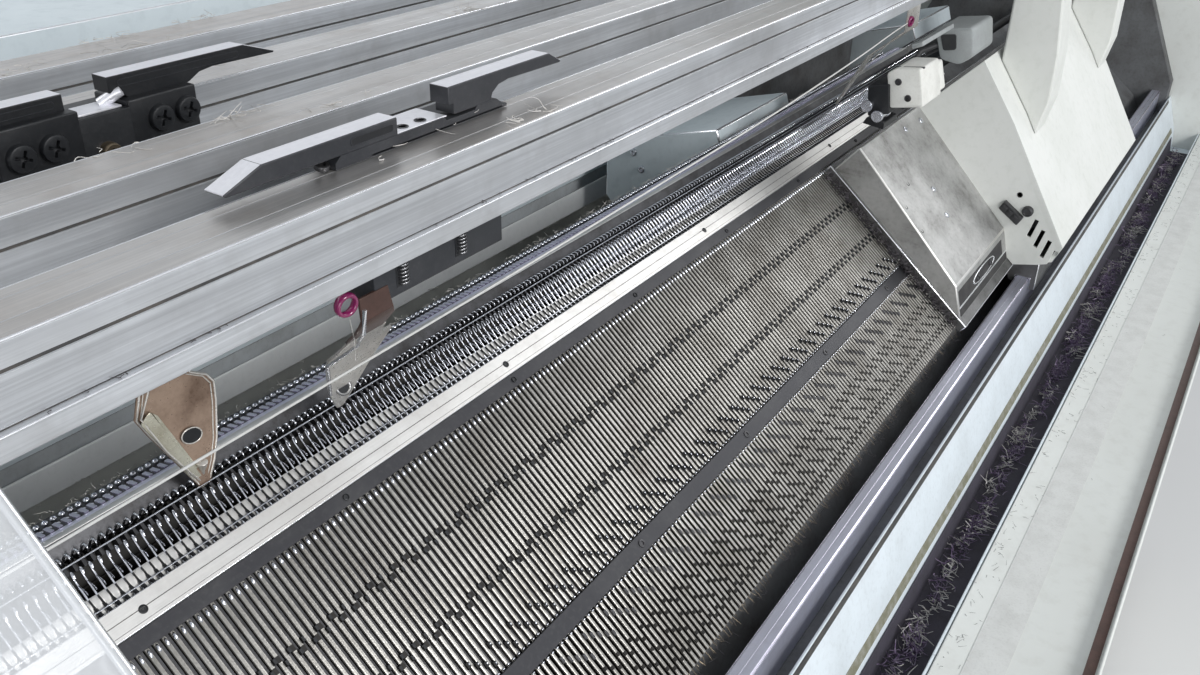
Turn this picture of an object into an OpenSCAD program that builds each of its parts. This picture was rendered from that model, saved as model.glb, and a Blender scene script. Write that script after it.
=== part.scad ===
// Flat knitting machine. Two needle beds slope down to the front and to the rear from the knitting
// gap. Four feeder rails run above the gap, a carriage bridges them and rides on a guide rail along
// each bed. Two pedestals, end covers, a rear cover and a yarn table complete it.
// Sizes are millimetres: X along the beds, Y from front to rear, Z up from the floor.
// Heights written as up are above the knitting gap, depths written as out are from the gap plane.

/* [Machine] */
// Overall length along the beds
machine_len = 2360; // [2300:10:2600]
// Overall depth
machine_dep = 660; // [650:5:720]
// Height of the knitting gap above the floor
gap_z = 1000; // [950:5:1050]
// Slope of each needle bed in degrees
bed_slope = 40; // [39.5:0.25:40.5]
// Clearance between pieces that are screwed or set together
seat = 0.3; // [0.2:0.05:0.4]
// Thickness of folded sheet
sheet_t = 2; // [1.5:0.25:2.5]

/* [Needle beds] */
// Needles in each bed
needle_count = 280; // [240:2:300]
// Distance from needle to needle
pitch = 3.63; // [3.4:0.01:3.7]
// Ridge between two needle slots, as a share of the pitch
ridge_share = 0.5; // [0.45:0.01:0.55]
// Depth of a needle slot
slot_d = 5; // [4.8:0.1:6]
// Thickness of a needle bed
bed_t = 22; // [20:0.5:24]
// Slope distance from the gap to the upper end of the slots
slot_top = 26; // [25:0.5:28]
// Slope distance from the gap to the lower end of the bed
slot_end = 209; // [200:1:212]
// Free half width between the noses of the two beds
gap_half = 3.2; // [3:0.1:4]
// Thickness of a needle
needle_t = 1.2; // [1:0.05:1.4]
// Slope distance from the gap to the resting needle hooks
needle_top = 5.4; // [5.2:0.1:7]
// Slope distance from the gap to the needle ends
needle_end = 150; // [140:1:170]
// Width of the cap plate over the slots
cap_w = 11.8; // [10:0.2:13]
// Thickness of the cap plate
cap_t = 2.7; // [2:0.1:3]
// Width of the upper black bar
upper_bar_w = 6.9; // [5:0.1:8]
// Slope distance from the gap to the lower black bar
lower_bar_s = 143; // [135:1:160]
// Width of the lower black bar
lower_bar_w = 9; // [7:0.5:11]
// Thickness of the black bars
black_bar_t = 1.4; // [1:0.1:2]

/* [Feeder rails] */
// Distance between neighbouring rails
rail_pitch = 65; // [63:0.5:68]
// Width of a rail
rail_w = 24; // [22:0.5:26]
// Height of the rail top above the gap
rail_up = 152; // [148:1:156]
// Height of a rail
rail_h = 27.2; // [26:0.2:30]
// Height of the foot ledge of a rail
rail_ledge_h = 6.5; // [5:0.5:8]
// Overhang of the foot ledge of a rail
rail_ledge_w = 2.5; // [2:0.25:3]

/* [Feeders] */
// Place of the first feeder nose along the beds
feeder_1_x = -392; // [-420:1:-380]
// Place of the second feeder nose along the beds
feeder_2_x = -315; // [-340:1:-300]
// Place of the third feeder nose along the beds
feeder_3_x = 280; // [270:1:300]
// Depth of a feeder body beside its rail
feeder_d = 14; // [12:0.5:16]
// Thickness of a feeder nose plate
nose_t = 1.2; // [1:0.1:1.4]
// Distance between the nose tips across the gap
nose_step = 2; // [1.9:0.1:2.1]
// Outer width of a thread eyelet
eyelet_d = 9; // [8:0.5:10]
// Bore of a thread eyelet
eyelet_bore = 4.6; // [4:0.2:5]

/* [Carriage] */
// Place of the carriage middle along the beds
carriage_x = 490; // [440:5:500]
// Width of the carriage
carriage_w = 636; // [600:4:640]
// Width of a cam box
cam_box_w = 140; // [130:2:150]
// Running height of the cam plates above the beds
cam_clear = 4.3; // [4:0.1:5]
// Thickness of the cam plates
cam_plate_t = 7.7; // [7:0.1:9]
// Wall of the cam boxes and of the carriage cover
cover_t = 3; // [2.5:0.25:3.5]
// Width of an arch
arch_w = 35; // [30:1:40]
// Distance between the arches
arch_gap = 273; // [260:1:280]

/* [Guide rails and beams] */
// Distance from the gap plane to the middle of a guide rail
guide_out = 177; // [176:0.5:178]
// Width of a guide rail
guide_w = 12; // [11:0.5:13]
// Height of a guide rail
guide_h = 30; // [28:0.5:32]
// Depth of the guide rail top below the gap
guide_down = 144; // [143:0.5:145]
// Running clearance of the carriage shoes
shoe_clear = 0.3; // [0.2:0.05:0.4]
// Distance from the gap plane to the outer face of a beam
beam_out = 192; // [191:0.5:193]

/* [Frame] */
// Depth of the pedestal tops below the gap
pedestal_down = 300; // [295:1:310]
// Width of a pedestal along the beds
pedestal_w = 320; // [300:5:340]
// Height of the levelling feet
foot_h = 60; // [50:2:70]
// Width of a levelling foot pad
foot_d = 80; // [70:2:90]
// Thickness of an end cover along the beds
end_w = 80; // [70:2:90]
// Height of the end covers above the gap
end_up = 290; // [285:5:320]
// Thickness of a rail bracket
bracket_t = 20; // [16:1:24]
// Wall of the pedestals and end covers
wall_t = 3; // [2.5:0.5:4]
// Depth of the front ledge below the gap
ledge_down = 200; // [196:1:204]
// Height of the rear cover above the gap
rear_cover_up = 140; // [130:5:150]
// Distance from the gap plane to the face of the rear cover
rear_cover_out = 198; // [197:0.5:199]

/* [Take-down and drive] */
// Radius of the take-down rollers
roller_r = 24.85; // [24.5:0.05:24.95]
// Length of the take-down rollers
roller_len = 1110; // [1090:10:1110]
// Depth of the roller axes below the gap
roller_down = 185; // [180:1:190]
// Diameter of the roller shafts
roller_shaft_d = 16; // [12:1:18]
// Running clearance of shafts
run_clear = 0.1; // [0.05:0.01:0.1]
// Radius of the belt pulleys
pulley_r = 30; // [28:0.5:31]
// Width of the drive belt
belt_w = 25; // [22:1:25]
// Thickness of the drive belt
belt_t = 3; // [2:0.25:3]

/* [Front shield] */
// Height of the shield rail foot above the gap
shield_up = 252; // [245:1:260]
// Distance from the gap plane to the front face of the shield rail
shield_out = 152; // [148:1:156]
// Place of the right edge of the open shield along the beds
shield_r = -550; // [-600:10:-500]

/* [Yarn table] */
// Length of the yarn table
table_len = 2100; // [2000:20:2140]
// Distance between the posts of the yarn table
post_gap = 1400; // [1300:20:1500]
// Diameter of a post
post_d = 34; // [30:1:38]
// Height of the yarn table above the gap
table_up = 640; // [600:10:700]
// Depth of the yarn table
table_d = 230; // [210:5:235]
// Thread tensioners along the bar
tensioner_count = 8; // [6:1:10]

/* [Hidden] */
cs = cos(bed_slope);
sn = sin(bed_slope);
bed_len = needle_count * pitch;
ridge_w = pitch * ridge_share;
half_len = machine_len / 2;
half_dep = machine_dep / 2;
in_x = half_len - end_w;
rail_x = in_x - bracket_t;
run_x = rail_x - seat;
side_x = in_x - seat;
ped_top = gap_z - pedestal_down;
ped_in = in_x - pedestal_w;
ledge_z = gap_z - ledge_down;
rail_top = gap_z + rail_up;
rail_foot = rail_top - rail_h;
ledge_top = rail_foot + rail_ledge_h;
guide_top = gap_z - guide_down;
guide_foot = guide_top - guide_h;
half_g = guide_w / 2;
plate_top = cam_clear + cam_plate_t;
car_l = carriage_x - carriage_w / 2;
car_r = carriage_x + carriage_w / 2;
cov_l = car_l + cam_box_w;
cov_r = car_r - cam_box_w;
bridge_r = cov_r - 10;
arch_r = bridge_r - arch_w;
arch_l = arch_r - arch_gap;
bridge_down = rail_up + 28;
roller_out = roller_r + seat / 2;
pulley_x = rail_x - 20;
belt_y = rear_cover_out + 41;
belt_low = gap_z - 107;
belt_in = pulley_r + seat;
clamp_z = gap_z - 93;
fold_y = half_dep - wall_t - seat;
shield_l = -run_x + 3;
shield_in = shield_out - 12;

// Point of the front bed: s down the slope from the gap, h above the slot ridges.
function fp(s, h) = [-s * cs - h * sn, gap_z - s * sn + h * cs];
// The same point of the rear bed.
function rp(s, h) = [s * cs + h * sn, gap_z - s * sn + h * cs];
// Slope distance at height h where a bed face is y away from the gap plane.
function s_at(y, h) = (y - h * sn) / cs;
// Height of the line h above a bed, y away from the gap plane.
function z_at(y, h) = gap_z - s_at(y, h) * sn + h * cs;
// Point of the line from a to b at depth y.
function on_line(a, b, y) = [y, a[1] + (b[1] - a[1]) * (y - a[0]) / (b[0] - a[0])];
// Points given as depth and height above the gap.
function up(pts) = [for (p = pts) [p[0], gap_z + p[1]]];
// Closed outline of a folded sheet along a path, its thickness on the left of the path.
function unit(v) = v / norm(v);
function left_of(a, b) = let (d = unit(b - a)) [-d[1], d[0]];
function mitre(p, i, t) =
    i == 0 ? p[0] + left_of(p[0], p[1]) * t :
    i == len(p) - 1 ? p[i] + left_of(p[i - 1], p[i]) * t :
    let (n0 = left_of(p[i - 1], p[i]), n1 = left_of(p[i], p[i + 1]), m = unit(n0 + n1))
    p[i] + m * (t / (m * n0));
function folded(p, t) = concat(p, [for (i = [len(p) - 1 : -1 : 0]) mitre(p, i, t)]);

// Outline in Y and Z, drawn out from x0 to x1.
module bar(x0, x1, pts) {
    translate([x0, 0, 0])
        rotate([90, 0, 90])
            linear_extrude(x1 - x0)
                polygon(pts);
}

// Outline in X and Z, drawn out from y0 to y1.
module slab(y0, y1, pts) {
    translate([0, y1, 0])
        rotate([90, 0, 0])
            linear_extrude(y1 - y0)
                polygon(pts);
}

module mirror_x() {
    mirror([1, 0, 0]) children();
}

module mirror_y() {
    mirror([0, 1, 0]) children();
}

// Frame of the front bed: -Y runs down the slope, Z stands on the bed.
module on_bed() {
    translate([0, 0, gap_z])
        rotate([bed_slope, 0, 0])
            children();
}

// Slotted bed plate with a ridge at every step-th place between the needles.
function ridge(i) = [
    [-bed_len / 2 + i * pitch - ridge_w / 2, -slot_d],
    [-bed_len / 2 + i * pitch - ridge_w / 2, 0],
    [-bed_len / 2 + i * pitch + ridge_w / 2, 0],
    [-bed_len / 2 + i * pitch + ridge_w / 2, -slot_d]
];

module bed_plate(step) {
    end_x = bed_len / 2 + ridge_w / 2;
    teeth = [for (i = [0 : step : needle_count]) each ridge(i)];
    nose_h = -bed_t + 9.7;
    on_bed()
        translate([0, -slot_top, 0])
            rotate([90, 0, 0])
                linear_extrude(slot_end - slot_top)
                    polygon(concat([[-end_x, -bed_t]], teeth, [[end_x, -bed_t]]));
    bar(-end_x, end_x, [
        fp(s_at(gap_half, -bed_t), -bed_t), fp(slot_top + 0.5, -bed_t),
        fp(slot_top + 0.5, nose_h), fp(s_at(gap_half, nose_h), nose_h)
    ]);
}

module needle_row() {
    for (i = [0 : needle_count - 1]) {
        x = -bed_len / 2 + (i + 0.5) * pitch;
        bar(x - needle_t / 2, x + needle_t / 2, [
            fp(needle_end, -slot_d + 0.4), fp(needle_end, -slot_d + 2.6), fp(needle_top, -0.9)
        ]);
    }
}

// Strip of the knock-over edge between the bed nose and the needles.
module knock_over() {
    low = -bed_t + 9.7 + seat;
    high = -slot_d - 0.2;
    bar(-bed_len / 2, bed_len / 2, [
        fp(slot_top, low), fp(slot_top, high),
        fp(s_at(gap_half, high), high), fp(s_at(gap_half, low), low)
    ]);
}

// Flat bar lying over the slots from slope distance s0 to s1.
module slot_bar(s0, s1, t) {
    x = bed_len / 2 + ridge_w / 2;
    bar(-x, x, [fp(s0, seat), fp(s1, seat), fp(s1, seat + t), fp(s0, seat + t)]);
}

// Cast beam under a bed, its top parallel to the bed.
module bed_beam() {
    under = -bed_t - seat;
    bar(-run_x, run_x, concat(
        [fp(slot_top, under)],
        up([[-12, -45], [-12, -120], [-100, -240], [-150, -pedestal_down + seat]]),
        up([[-beam_out, -pedestal_down + seat], [-beam_out, -guide_down - guide_h - seat]]),
        up([[-160, -guide_down - guide_h - seat], [-150, -155]]),
        [fp(slot_end - 4.2, under)]
    ));
}

// Plate that carries one end of both take-down rollers.
module roller_hanger() {
    x = roller_len / 2 + 12;
    difference() {
        bar(x, x + 12, up([[-62, -155], [33, -155], [52, -178], [52, -222], [-90, -222]]));
        for (side = [-1, 1])
            translate([x - 1, side * roller_out, gap_z - roller_down])
                rotate([0, 90, 0])
                    cylinder(h = 14, d = roller_shaft_d + 2 * run_clear, $fn = 48);
    }
}

module pedestal() {
    difference() {
        translate([-side_x, -fold_y, foot_h])
            cube([pedestal_w, 2 * fold_y, ped_top - foot_h]);
        translate([-side_x + wall_t, -fold_y + wall_t, foot_h + wall_t])
            cube([pedestal_w - 2 * wall_t, 2 * (fold_y - wall_t), ped_top - foot_h - 2 * wall_t]);
        translate([-side_x + pedestal_w / 2, 0, foot_h - 1])
            cylinder(h = wall_t + 2, d = 60, $fn = 48);
    }
}

function end_outline(inset) = [
    [-half_dep + inset, 80 + inset], [-half_dep + inset, gap_z + end_up - 110],
    [-half_dep + 90 + inset / 2, gap_z + end_up - inset],
    [half_dep - 90 - inset / 2, gap_z + end_up - inset],
    [half_dep - inset, gap_z + end_up - 110], [half_dep - inset, 80 + inset]
];

module end_cover() {
    difference() {
        bar(-half_len, -in_x, end_outline(0));
        bar(-half_len + wall_t, -in_x - wall_t, end_outline(wall_t));
        translate([-in_x - wall_t - 1, 0, gap_z - 450])
            rotate([0, 90, 0])
                cylinder(h = wall_t + 2, d = 60, $fn = 48);
    }
}

module rail_bracket() {
    foot = -pedestal_down + seat;
    out = beam_out + 2;
    bar(-side_x, -rail_x, up([
        [-out, foot], [-out, -130], [-125, 20], [-125, rail_up + 18], [125, rail_up + 18],
        [125, 20], [out, -130], [out, foot]
    ]));
}

module feeder_rail(i) {
    y = (i - 2.5) * -rail_pitch - 1;
    w = rail_w / 2;
    k = w + rail_ledge_w;
    bar(-run_x, run_x, [
        [y - w, rail_top], [y + w, rail_top], [y + w, ledge_top], [y + k, ledge_top],
        [y + k, rail_foot], [y - k, rail_foot], [y - k, ledge_top], [y - w, ledge_top]
    ]);
}

// Face of a rail on the given side, 1 towards the rear and -1 towards the front.
function rail_face(i, side) = (i - 2.5) * -rail_pitch - 1 + side * rail_w / 2;

module guide_rail() {
    y = -guide_out;
    bar(-run_x, run_x, [
        [y - half_g, guide_foot], [y + half_g, guide_foot], [y + half_g, guide_top - 1],
        [y + half_g - 1, guide_top], [y - half_g + 1, guide_top], [y - half_g, guide_top - 1]
    ]);
}

// Shoe of a cam plate that straddles the guide rail.
module shoe(x0, x1) {
    y = -guide_out;
    c = shoe_clear;
    bar(x0, x1, [
        [y + half_g + 8, guide_top + 2], [y + half_g + 8, guide_top + 22],
        [y - half_g - 6, guide_top + 22], [y - half_g - 6, guide_top - 10],
        [y - half_g - c, guide_top - 10], [y - half_g - c, guide_top + c],
        [y + half_g + c, guide_top + c], [y + half_g + c, guide_top - 6],
        [y + half_g + 5.5, guide_top - 6]
    ]);
}

module cam_plate(s0) {
    bar(car_l, car_r, [
        fp(s0, cam_clear), fp(slot_end + 3, cam_clear), fp(slot_end + 3, plate_top), fp(s0, plate_top)
    ]);
    shoe(arch_l - 20, arch_l + 50);
    shoe(arch_r - 15, arch_r + 25);
}

function cam_box_outline(t) = [
    fp(50 + t, plate_top + (t > 0 ? -1 : seat)), fp(50 + t, 41 - t), fp(181, 28 - t),
    fp(204 - 1.6 * t, plate_top + (t > 0 ? -1 : seat))
];

module front_cam_box(x0) {
    difference() {
        bar(x0, x0 + cam_box_w, cam_box_outline(0));
        bar(x0 + cover_t, x0 + cam_box_w - cover_t, cam_box_outline(cover_t));
        on_bed()
            translate([x0 + 30, -198, plate_top + 2])
                cube([60, 11, 30]);
    }
}

module rear_cam_box(x0) {
    low = plate_top + seat;
    difference() {
        bar(x0, x0 + cam_box_w, concat(
            [rp(60, low)], up([[60, -11], [170, -41]]), [[170, z_at(170, low) + 32]], [rp(190, low)]
        ));
        bar(x0 + cover_t, x0 + cam_box_w - cover_t, concat(
            [rp(65, low - 1)], up([[63, -15], [167, -43.5]]), [[167, z_at(167, low) + 32]],
            [rp(186, low - 1)]
        ));
    }
}

// Corners of the hood over the middle of the carriage.
hood_1 = fp(57, 108);
hood_2 = fp(114, 93);
hood_3 = fp(223, 56);
hood_lip = [-guide_out - half_g - 6, guide_top + 22 + 2 * seat];

module vent(i) {
    a = [-179 - 7 * i, gap_z - 98 - 8 * i];
    b = a + [-4, 16.5];
    bar(cov_l - 1, cov_l + cover_t + 1, [a, b, b + [3.4, 0.9], a + [3.4, 0.9]]);
}

module hood() {
    t = cover_t;
    low = plate_top + seat;
    difference() {
        bar(cov_l, cov_r, [
            fp(50, low), hood_1, hood_2, hood_3, hood_lip + [-11, 4], hood_lip,
            fp(slot_end + 2, low)
        ]);
        bar(cov_l + t, cov_r - t, [
            fp(50 + t, low - 1), fp(57 + t, 108 - 1.2 * t), fp(114 - t / 2, 93 - 1.1 * t),
            fp(223 - t, 56 - 0.9 * t), hood_lip + [-11 + t, 5], hood_lip + [t, -1],
            fp(slot_end + 2, low - 2)
        ]);
        for (i = [0 : 3])
            vent(i);
    }
}

module arch(x0) {
    lift = [0, seat];
    bar(x0, x0 + arch_w, concat(
        [on_line(hood_1, hood_2, -118) + lift, hood_2 + lift, on_line(hood_2, hood_3, -158) + lift],
        up([
            [-164, 10], [-163, 50], [-157, 100], [-150, bridge_down + 10], [-130, bridge_down + 58],
            [-95, bridge_down + 82], [160, bridge_down + 82], [190, bridge_down + 58],
            [190, bridge_down - 30], [178 + seat, bridge_down - 30], [178 + seat, bridge_down + 52],
            [155, bridge_down + 70 + seat], [-95, bridge_down + 70 + seat], [-118, bridge_down + 58]
        ])
    ));
}

module bridge() {
    wall = 10;
    d = bridge_down;
    difference() {
        bar(arch_l, bridge_r, concat(
            up([[-118 + seat, d], [-118 + seat, d + 58], [-95, d + 70], [155, d + 70], [178, d + 52]]),
            up([[178, -95]]),
            [[162, z_at(162, plate_top) + seat], [128, z_at(128, plate_top) + seat]],
            up([[128, d]])
        ));
        bar(arch_l + wall, bridge_r - wall, up([
            [-108, d - 1], [-108, d + 52], [-92, d + 60], [152, d + 60], [168, d + 46],
            [168, -80], [138, -60], [138, d - 1]
        ]));
    }
    translate([carriage_x - 50, 176, clamp_z])
        cube([100, belt_y - belt_in - belt_t - seat - 176, 6]);
}

// Feeder body beside a rail, hooked over its top and under its foot ledge.
module feeder_body(face, side, x0, x1, foot) {
    k = rail_ledge_w + 0.6;
    pts = [
        [-6, rail_top + seat], [-6, rail_top + 3.3], [feeder_d, rail_top + 3.3], [feeder_d, foot],
        [-2, foot], [-2, rail_foot - seat], [k, rail_foot - seat], [k, ledge_top + seat],
        [seat, ledge_top + seat], [seat, rail_top + seat]
    ];
    bar(x0, x1, [for (p = pts) [face + side * p[0], p[1]]]);
}

// Driving arms on the back of a feeder body, outline in X and height above the body.
module feeder_arm(face, x, pts) {
    y0 = face - 6;
    slab(y0, y0 + 12, [for (p = pts) [x + p[0], rail_top + 3.3 + seat + p[1]]]);
}

// Bent nose plate: its fold in Y and Z cut to an outline in X and Z.
module nose_plate(path, outline, bore) {
    difference() {
        intersection() {
            bar(-half_len, half_len, folded(path, nose_t));
            slab(-100, 40, outline);
        }
        translate([bore[0], -100, bore[1]])
            rotate([-90, 0, 0])
                cylinder(h = 140, d = bore[2], $fn = 32);
    }
}

module eyelet(x, y, z) {
    translate([x, y - 2, z])
        rotate([-90, 0, 0])
            difference() {
                cylinder(h = 4, d = eyelet_d, $fn = 48);
                translate([0, 0, -1])
                    cylinder(h = 6, d = eyelet_bore, $fn = 48);
            }
}

long_arm = [[-110, 0], [-110, 1.5], [-97, 6.5], [-35, 5], [-35, 0]];
hook_arm = [[-14, 0], [-14, 4], [-7, 11], [45, 11], [54, 6], [53, 3.2], [29, 3.6], [22, 0]];
grip_arm = [[-3, 0], [-3, 13.5], [54, 13.5], [69, 6], [69, 2.4], [48, 2], [42, 0]];

module pulley(x) {
    translate([x, belt_y, belt_low - 1])
        cylinder(h = belt_w + 2, r = pulley_r, $fn = 96);
    translate([x, belt_y, belt_low - 3.5])
        cylinder(h = 2.5, r = pulley_r + 4, $fn = 96);
    translate([x, belt_y, belt_low + belt_w + 1])
        cylinder(h = 2.5, r = pulley_r + 4, $fn = 96);
    translate([x, belt_y, gap_z - 116 + sheet_t + seat])
        cylinder(h = 56, r = 8, $fn = 48);
}

module stadium(r, h) {
    translate([-pulley_x, belt_y - r, 0])
        cube([2 * pulley_x, 2 * r, h]);
    for (x = [-pulley_x, pulley_x])
        translate([x, belt_y, 0])
            cylinder(h = h, r = r, $fn = 96);
}

module left_pedestal() {
    color([0.86, 0.87, 0.84]) pedestal();
}

module right_pedestal() {
    color([0.86, 0.87, 0.84]) mirror_x() pedestal();
}

module levelling_feet() {
    color([0.3, 0.3, 0.32])
        for (x = [-1, 1])
            for (end = [35, pedestal_w - 45])
                for (y = [-1, 1])
                    translate([x * (side_x - end), y * (half_dep - 55), 0]) {
                        cylinder(h = 12, d = foot_d, $fn = 48);
                        cylinder(h = foot_h - seat, d = 20, $fn = 32);
                    }
}

module left_end_cover() {
    color([0.84, 0.86, 0.83]) end_cover();
}

module right_end_cover() {
    color([0.84, 0.86, 0.83]) mirror_x() end_cover();
}

module front_bed_beam() {
    color([0.36, 0.37, 0.39]) {
        bed_beam();
        roller_hanger();
        mirror_x() roller_hanger();
    }
}

module rear_bed_beam() {
    color([0.36, 0.37, 0.39]) mirror_y() bed_beam();
}

module front_skirt() {
    color([0.8, 0.81, 0.79])
        translate([-ped_in + seat, -fold_y, 110])
            cube([2 * (ped_in - seat), sheet_t, ledge_z - wall_t - seat - 110]);
}

module rear_skirt() {
    x = ped_in - seat;
    top = gap_z - 116 - seat;
    color([0.8, 0.81, 0.79])
        slab(fold_y - sheet_t, fold_y, [
            [-x, 110], [x, 110], [x, ped_top + seat], [side_x, ped_top + seat], [side_x, top],
            [-side_x, top], [-side_x, ped_top + seat], [-x, ped_top + seat]
        ]);
}

module rear_cover() {
    y = rear_cover_out;
    color([0.72, 0.77, 0.8])
        bar(-side_x, side_x, folded(up([
            [half_dep, -116 + sheet_t + seat], [half_dep, rear_cover_up], [y, rear_cover_up], [y, -85]
        ]), sheet_t));
}

module belt_shelf() {
    y = rear_cover_out;
    color([0.88, 0.89, 0.88])
        bar(-side_x, side_x, folded(up([[y, -96], [y, -116], [half_dep, -116]]), sheet_t));
}

module front_ledge() {
    color([0.87, 0.88, 0.86]) {
        bar(-side_x, side_x, folded([
            [-half_dep, ped_top - 10], [-half_dep, ledge_z], [-beam_out - 54.3, ledge_z],
            [-beam_out - 54.3, ledge_z - 14]
        ], -wall_t));
        translate([-side_x, -half_dep, ledge_z - 1])
            cube([2 * side_x, 2, 13]);
    }
}

module lint_trough() {
    b = beam_out;
    color([0.82, 0.82, 0.8]) {
        bar(-side_x, side_x, folded([
            [-b - 2.5, ledge_z + 46], [-b - 18, ledge_z], [-b - 22, ledge_z - 28],
            [-b - 50, ledge_z - 28], [-b - 53.8, ledge_z - 1]
        ], -sheet_t));
        translate([-run_x, -b - 17, ledge_z + 3])
            cube([2 * run_x, 17 - seat, 3]);
    }
}

module left_rail_bracket() {
    color([0.42, 0.44, 0.46]) rail_bracket();
}

module right_rail_bracket() {
    color([0.42, 0.44, 0.46]) mirror_x() rail_bracket();
}

module front_needle_bed() {
    color([0.55, 0.54, 0.53]) bed_plate(1);
}

module front_needles() {
    color([0.7, 0.71, 0.73]) needle_row();
}

module front_sinkers() {
    color([0.6, 0.6, 0.62]) knock_over();
}

module front_cap_plate() {
    color([0.78, 0.78, 0.77]) slot_bar(slot_top - 1, slot_top - 1 + cap_w, cap_t);
}

module front_upper_bar() {
    s0 = slot_top - 1 + cap_w + 0.1;
    color([0.08, 0.08, 0.09]) slot_bar(s0, s0 + upper_bar_w, black_bar_t);
}

module front_lower_bar() {
    color([0.09, 0.09, 0.1]) slot_bar(lower_bar_s, lower_bar_s + lower_bar_w, black_bar_t);
}

module rear_needle_bed() {
    color([0.55, 0.54, 0.53]) mirror_y() bed_plate(2);
}

module rear_needles() {
    color([0.7, 0.71, 0.73]) mirror_y() needle_row();
}

module rear_sinkers() {
    color([0.6, 0.6, 0.62]) mirror_y() knock_over();
}

module rear_cap_plate() {
    x = bed_len / 2 + ridge_w / 2;
    color([0.45, 0.45, 0.47])
        bar(-x, x, concat(
            [rp(12, seat), rp(57, seat)], up([[44.5, -12], [30, -10], [27, -4], [14, -1]])
        ));
}

module feeder_rail_1() {
    color([0.72, 0.73, 0.74]) feeder_rail(1);
}

module feeder_rail_2() {
    color([0.72, 0.73, 0.74]) feeder_rail(2);
}

module feeder_rail_3() {
    color([0.72, 0.73, 0.74]) feeder_rail(3);
}

module feeder_rail_4() {
    color([0.72, 0.73, 0.74]) feeder_rail(4);
}

module front_guide_rail() {
    color([0.62, 0.64, 0.72]) guide_rail();
}

module rear_guide_rail() {
    color([0.62, 0.64, 0.72]) mirror_y() guide_rail();
}

module carriage_bridge() {
    color([0.3, 0.31, 0.33]) bridge();
}

module front_cam_plate() {
    color([0.35, 0.35, 0.36]) cam_plate(46);
}

module rear_cam_plate() {
    color([0.35, 0.35, 0.36]) mirror_y() cam_plate(62);
}

module front_cam_box_left() {
    color([0.62, 0.61, 0.59]) front_cam_box(car_l);
}

module front_cam_box_right() {
    color([0.62, 0.61, 0.59]) front_cam_box(cov_r);
}

module rear_cam_boxes() {
    color([0.8, 0.83, 0.85]) {
        rear_cam_box(car_l);
        rear_cam_box(cov_r);
    }
}

module carriage_cover() {
    color([0.85, 0.87, 0.83]) hood();
}

module left_arch() {
    color([0.86, 0.88, 0.84]) arch(arch_l);
}

module right_arch() {
    color([0.86, 0.88, 0.84]) arch(arch_r);
}

module feeder_1_carrier() {
    x = feeder_1_x;
    color([0.1, 0.1, 0.11]) feeder_body(rail_face(2, -1), -1, x - 48, x + 33, gap_z + 97);
}

module feeder_1_arms() {
    x = feeder_1_x;
    color([0.13, 0.13, 0.14]) {
        feeder_arm(rail_face(2, -1), x, grip_arm);
        feeder_arm(rail_face(2, -1), x, [for (p = grip_arm) [-21 - p[0], p[1] * 0.8]]);
    }
}

module feeder_1_nose() {
    x = feeder_1_x;
    y = rail_face(2, -1) - feeder_d - seat;
    tip = nose_step + nose_t / 2;
    color([0.55, 0.45, 0.33])
        nose_plate(
            up([[tip, -3.5], [y, 30], [y, 122]]),
            up([[x - 4, 122], [x + 18, 122], [x + 18, 47], [x + 21, 36], [x + 14, 5], [x + 2, -3.5],
                [x - 2, -3.5], [x - 16, 32], [x - 4, 44]]),
            [x + 5, gap_z + 14, 7]
        );
}

module feeder_2_carrier() {
    x = feeder_2_x;
    color([0.16, 0.16, 0.17]) feeder_body(rail_face(4, 1), 1, x - 49, x + 19, gap_z + 97);
}

module feeder_2_arms() {
    x = feeder_2_x;
    color([0.5, 0.51, 0.52]) {
        feeder_arm(rail_face(4, 1), x, long_arm);
        feeder_arm(rail_face(4, 1), x, hook_arm);
    }
}

module feeder_2_nose() {
    x = feeder_2_x;
    y = rail_face(4, 1) - 2 - seat;
    color([0.5, 0.45, 0.42])
        nose_plate(
            up([[-nose_step - nose_t / 2, -3.5], [-30, 43], [y, 94], [y, 113]]),
            up([[x - 77, 113], [x - 37, 113], [x - 37, 94], [x + 4, 45], [x + 6, 30], [x + 2, -3.5],
                [x - 2, -3.5], [x - 7, 15], [x - 28, 41], [x - 77, 97]]),
            [x - 69, gap_z + 105, eyelet_d + 0.1]
        );
}

module feeder_2_eyelet() {
    color([0.75, 0.1, 0.45])
        eyelet(feeder_2_x - 69, rail_face(4, 1) - 2 - seat - nose_t / 2, gap_z + 105);
}

module feeder_3_carrier() {
    x = feeder_3_x;
    color([0.16, 0.16, 0.17]) feeder_body(rail_face(3, -1), -1, x - 34, x + 34, gap_z + 97);
}

module feeder_3_arms() {
    x = feeder_3_x + 15;
    color([0.5, 0.51, 0.52]) {
        feeder_arm(rail_face(3, -1), x, long_arm);
        feeder_arm(rail_face(3, -1), x, hook_arm);
    }
}

module feeder_3_nose() {
    x = feeder_3_x;
    y = rail_face(3, -1) - feeder_d - seat;
    color([0.6, 0.6, 0.6])
        nose_plate(
            up([[-nose_t / 2, -3.5], [-26.5, 45], [y, 73], [y, 110]]),
            up([[x - 25, 110], [x + 3, 110], [x + 6, 60], [x + 6, 30], [x + 2, -3.5],
                [x - 2, -3.5], [x - 7, 15], [x - 12, 60], [x - 25, 72]]),
            [x - 18, gap_z + 80, eyelet_d + 0.1]
        );
}

module feeder_3_eyelet() {
    color([0.75, 0.1, 0.45])
        eyelet(feeder_3_x - 18, rail_face(3, -1) - feeder_d - seat - nose_t / 2, gap_z + 80);
}

module drive_pulley_left() {
    color([0.6, 0.6, 0.62]) pulley(-pulley_x);
}

module drive_pulley_right() {
    color([0.6, 0.6, 0.62]) pulley(pulley_x);
}

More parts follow.
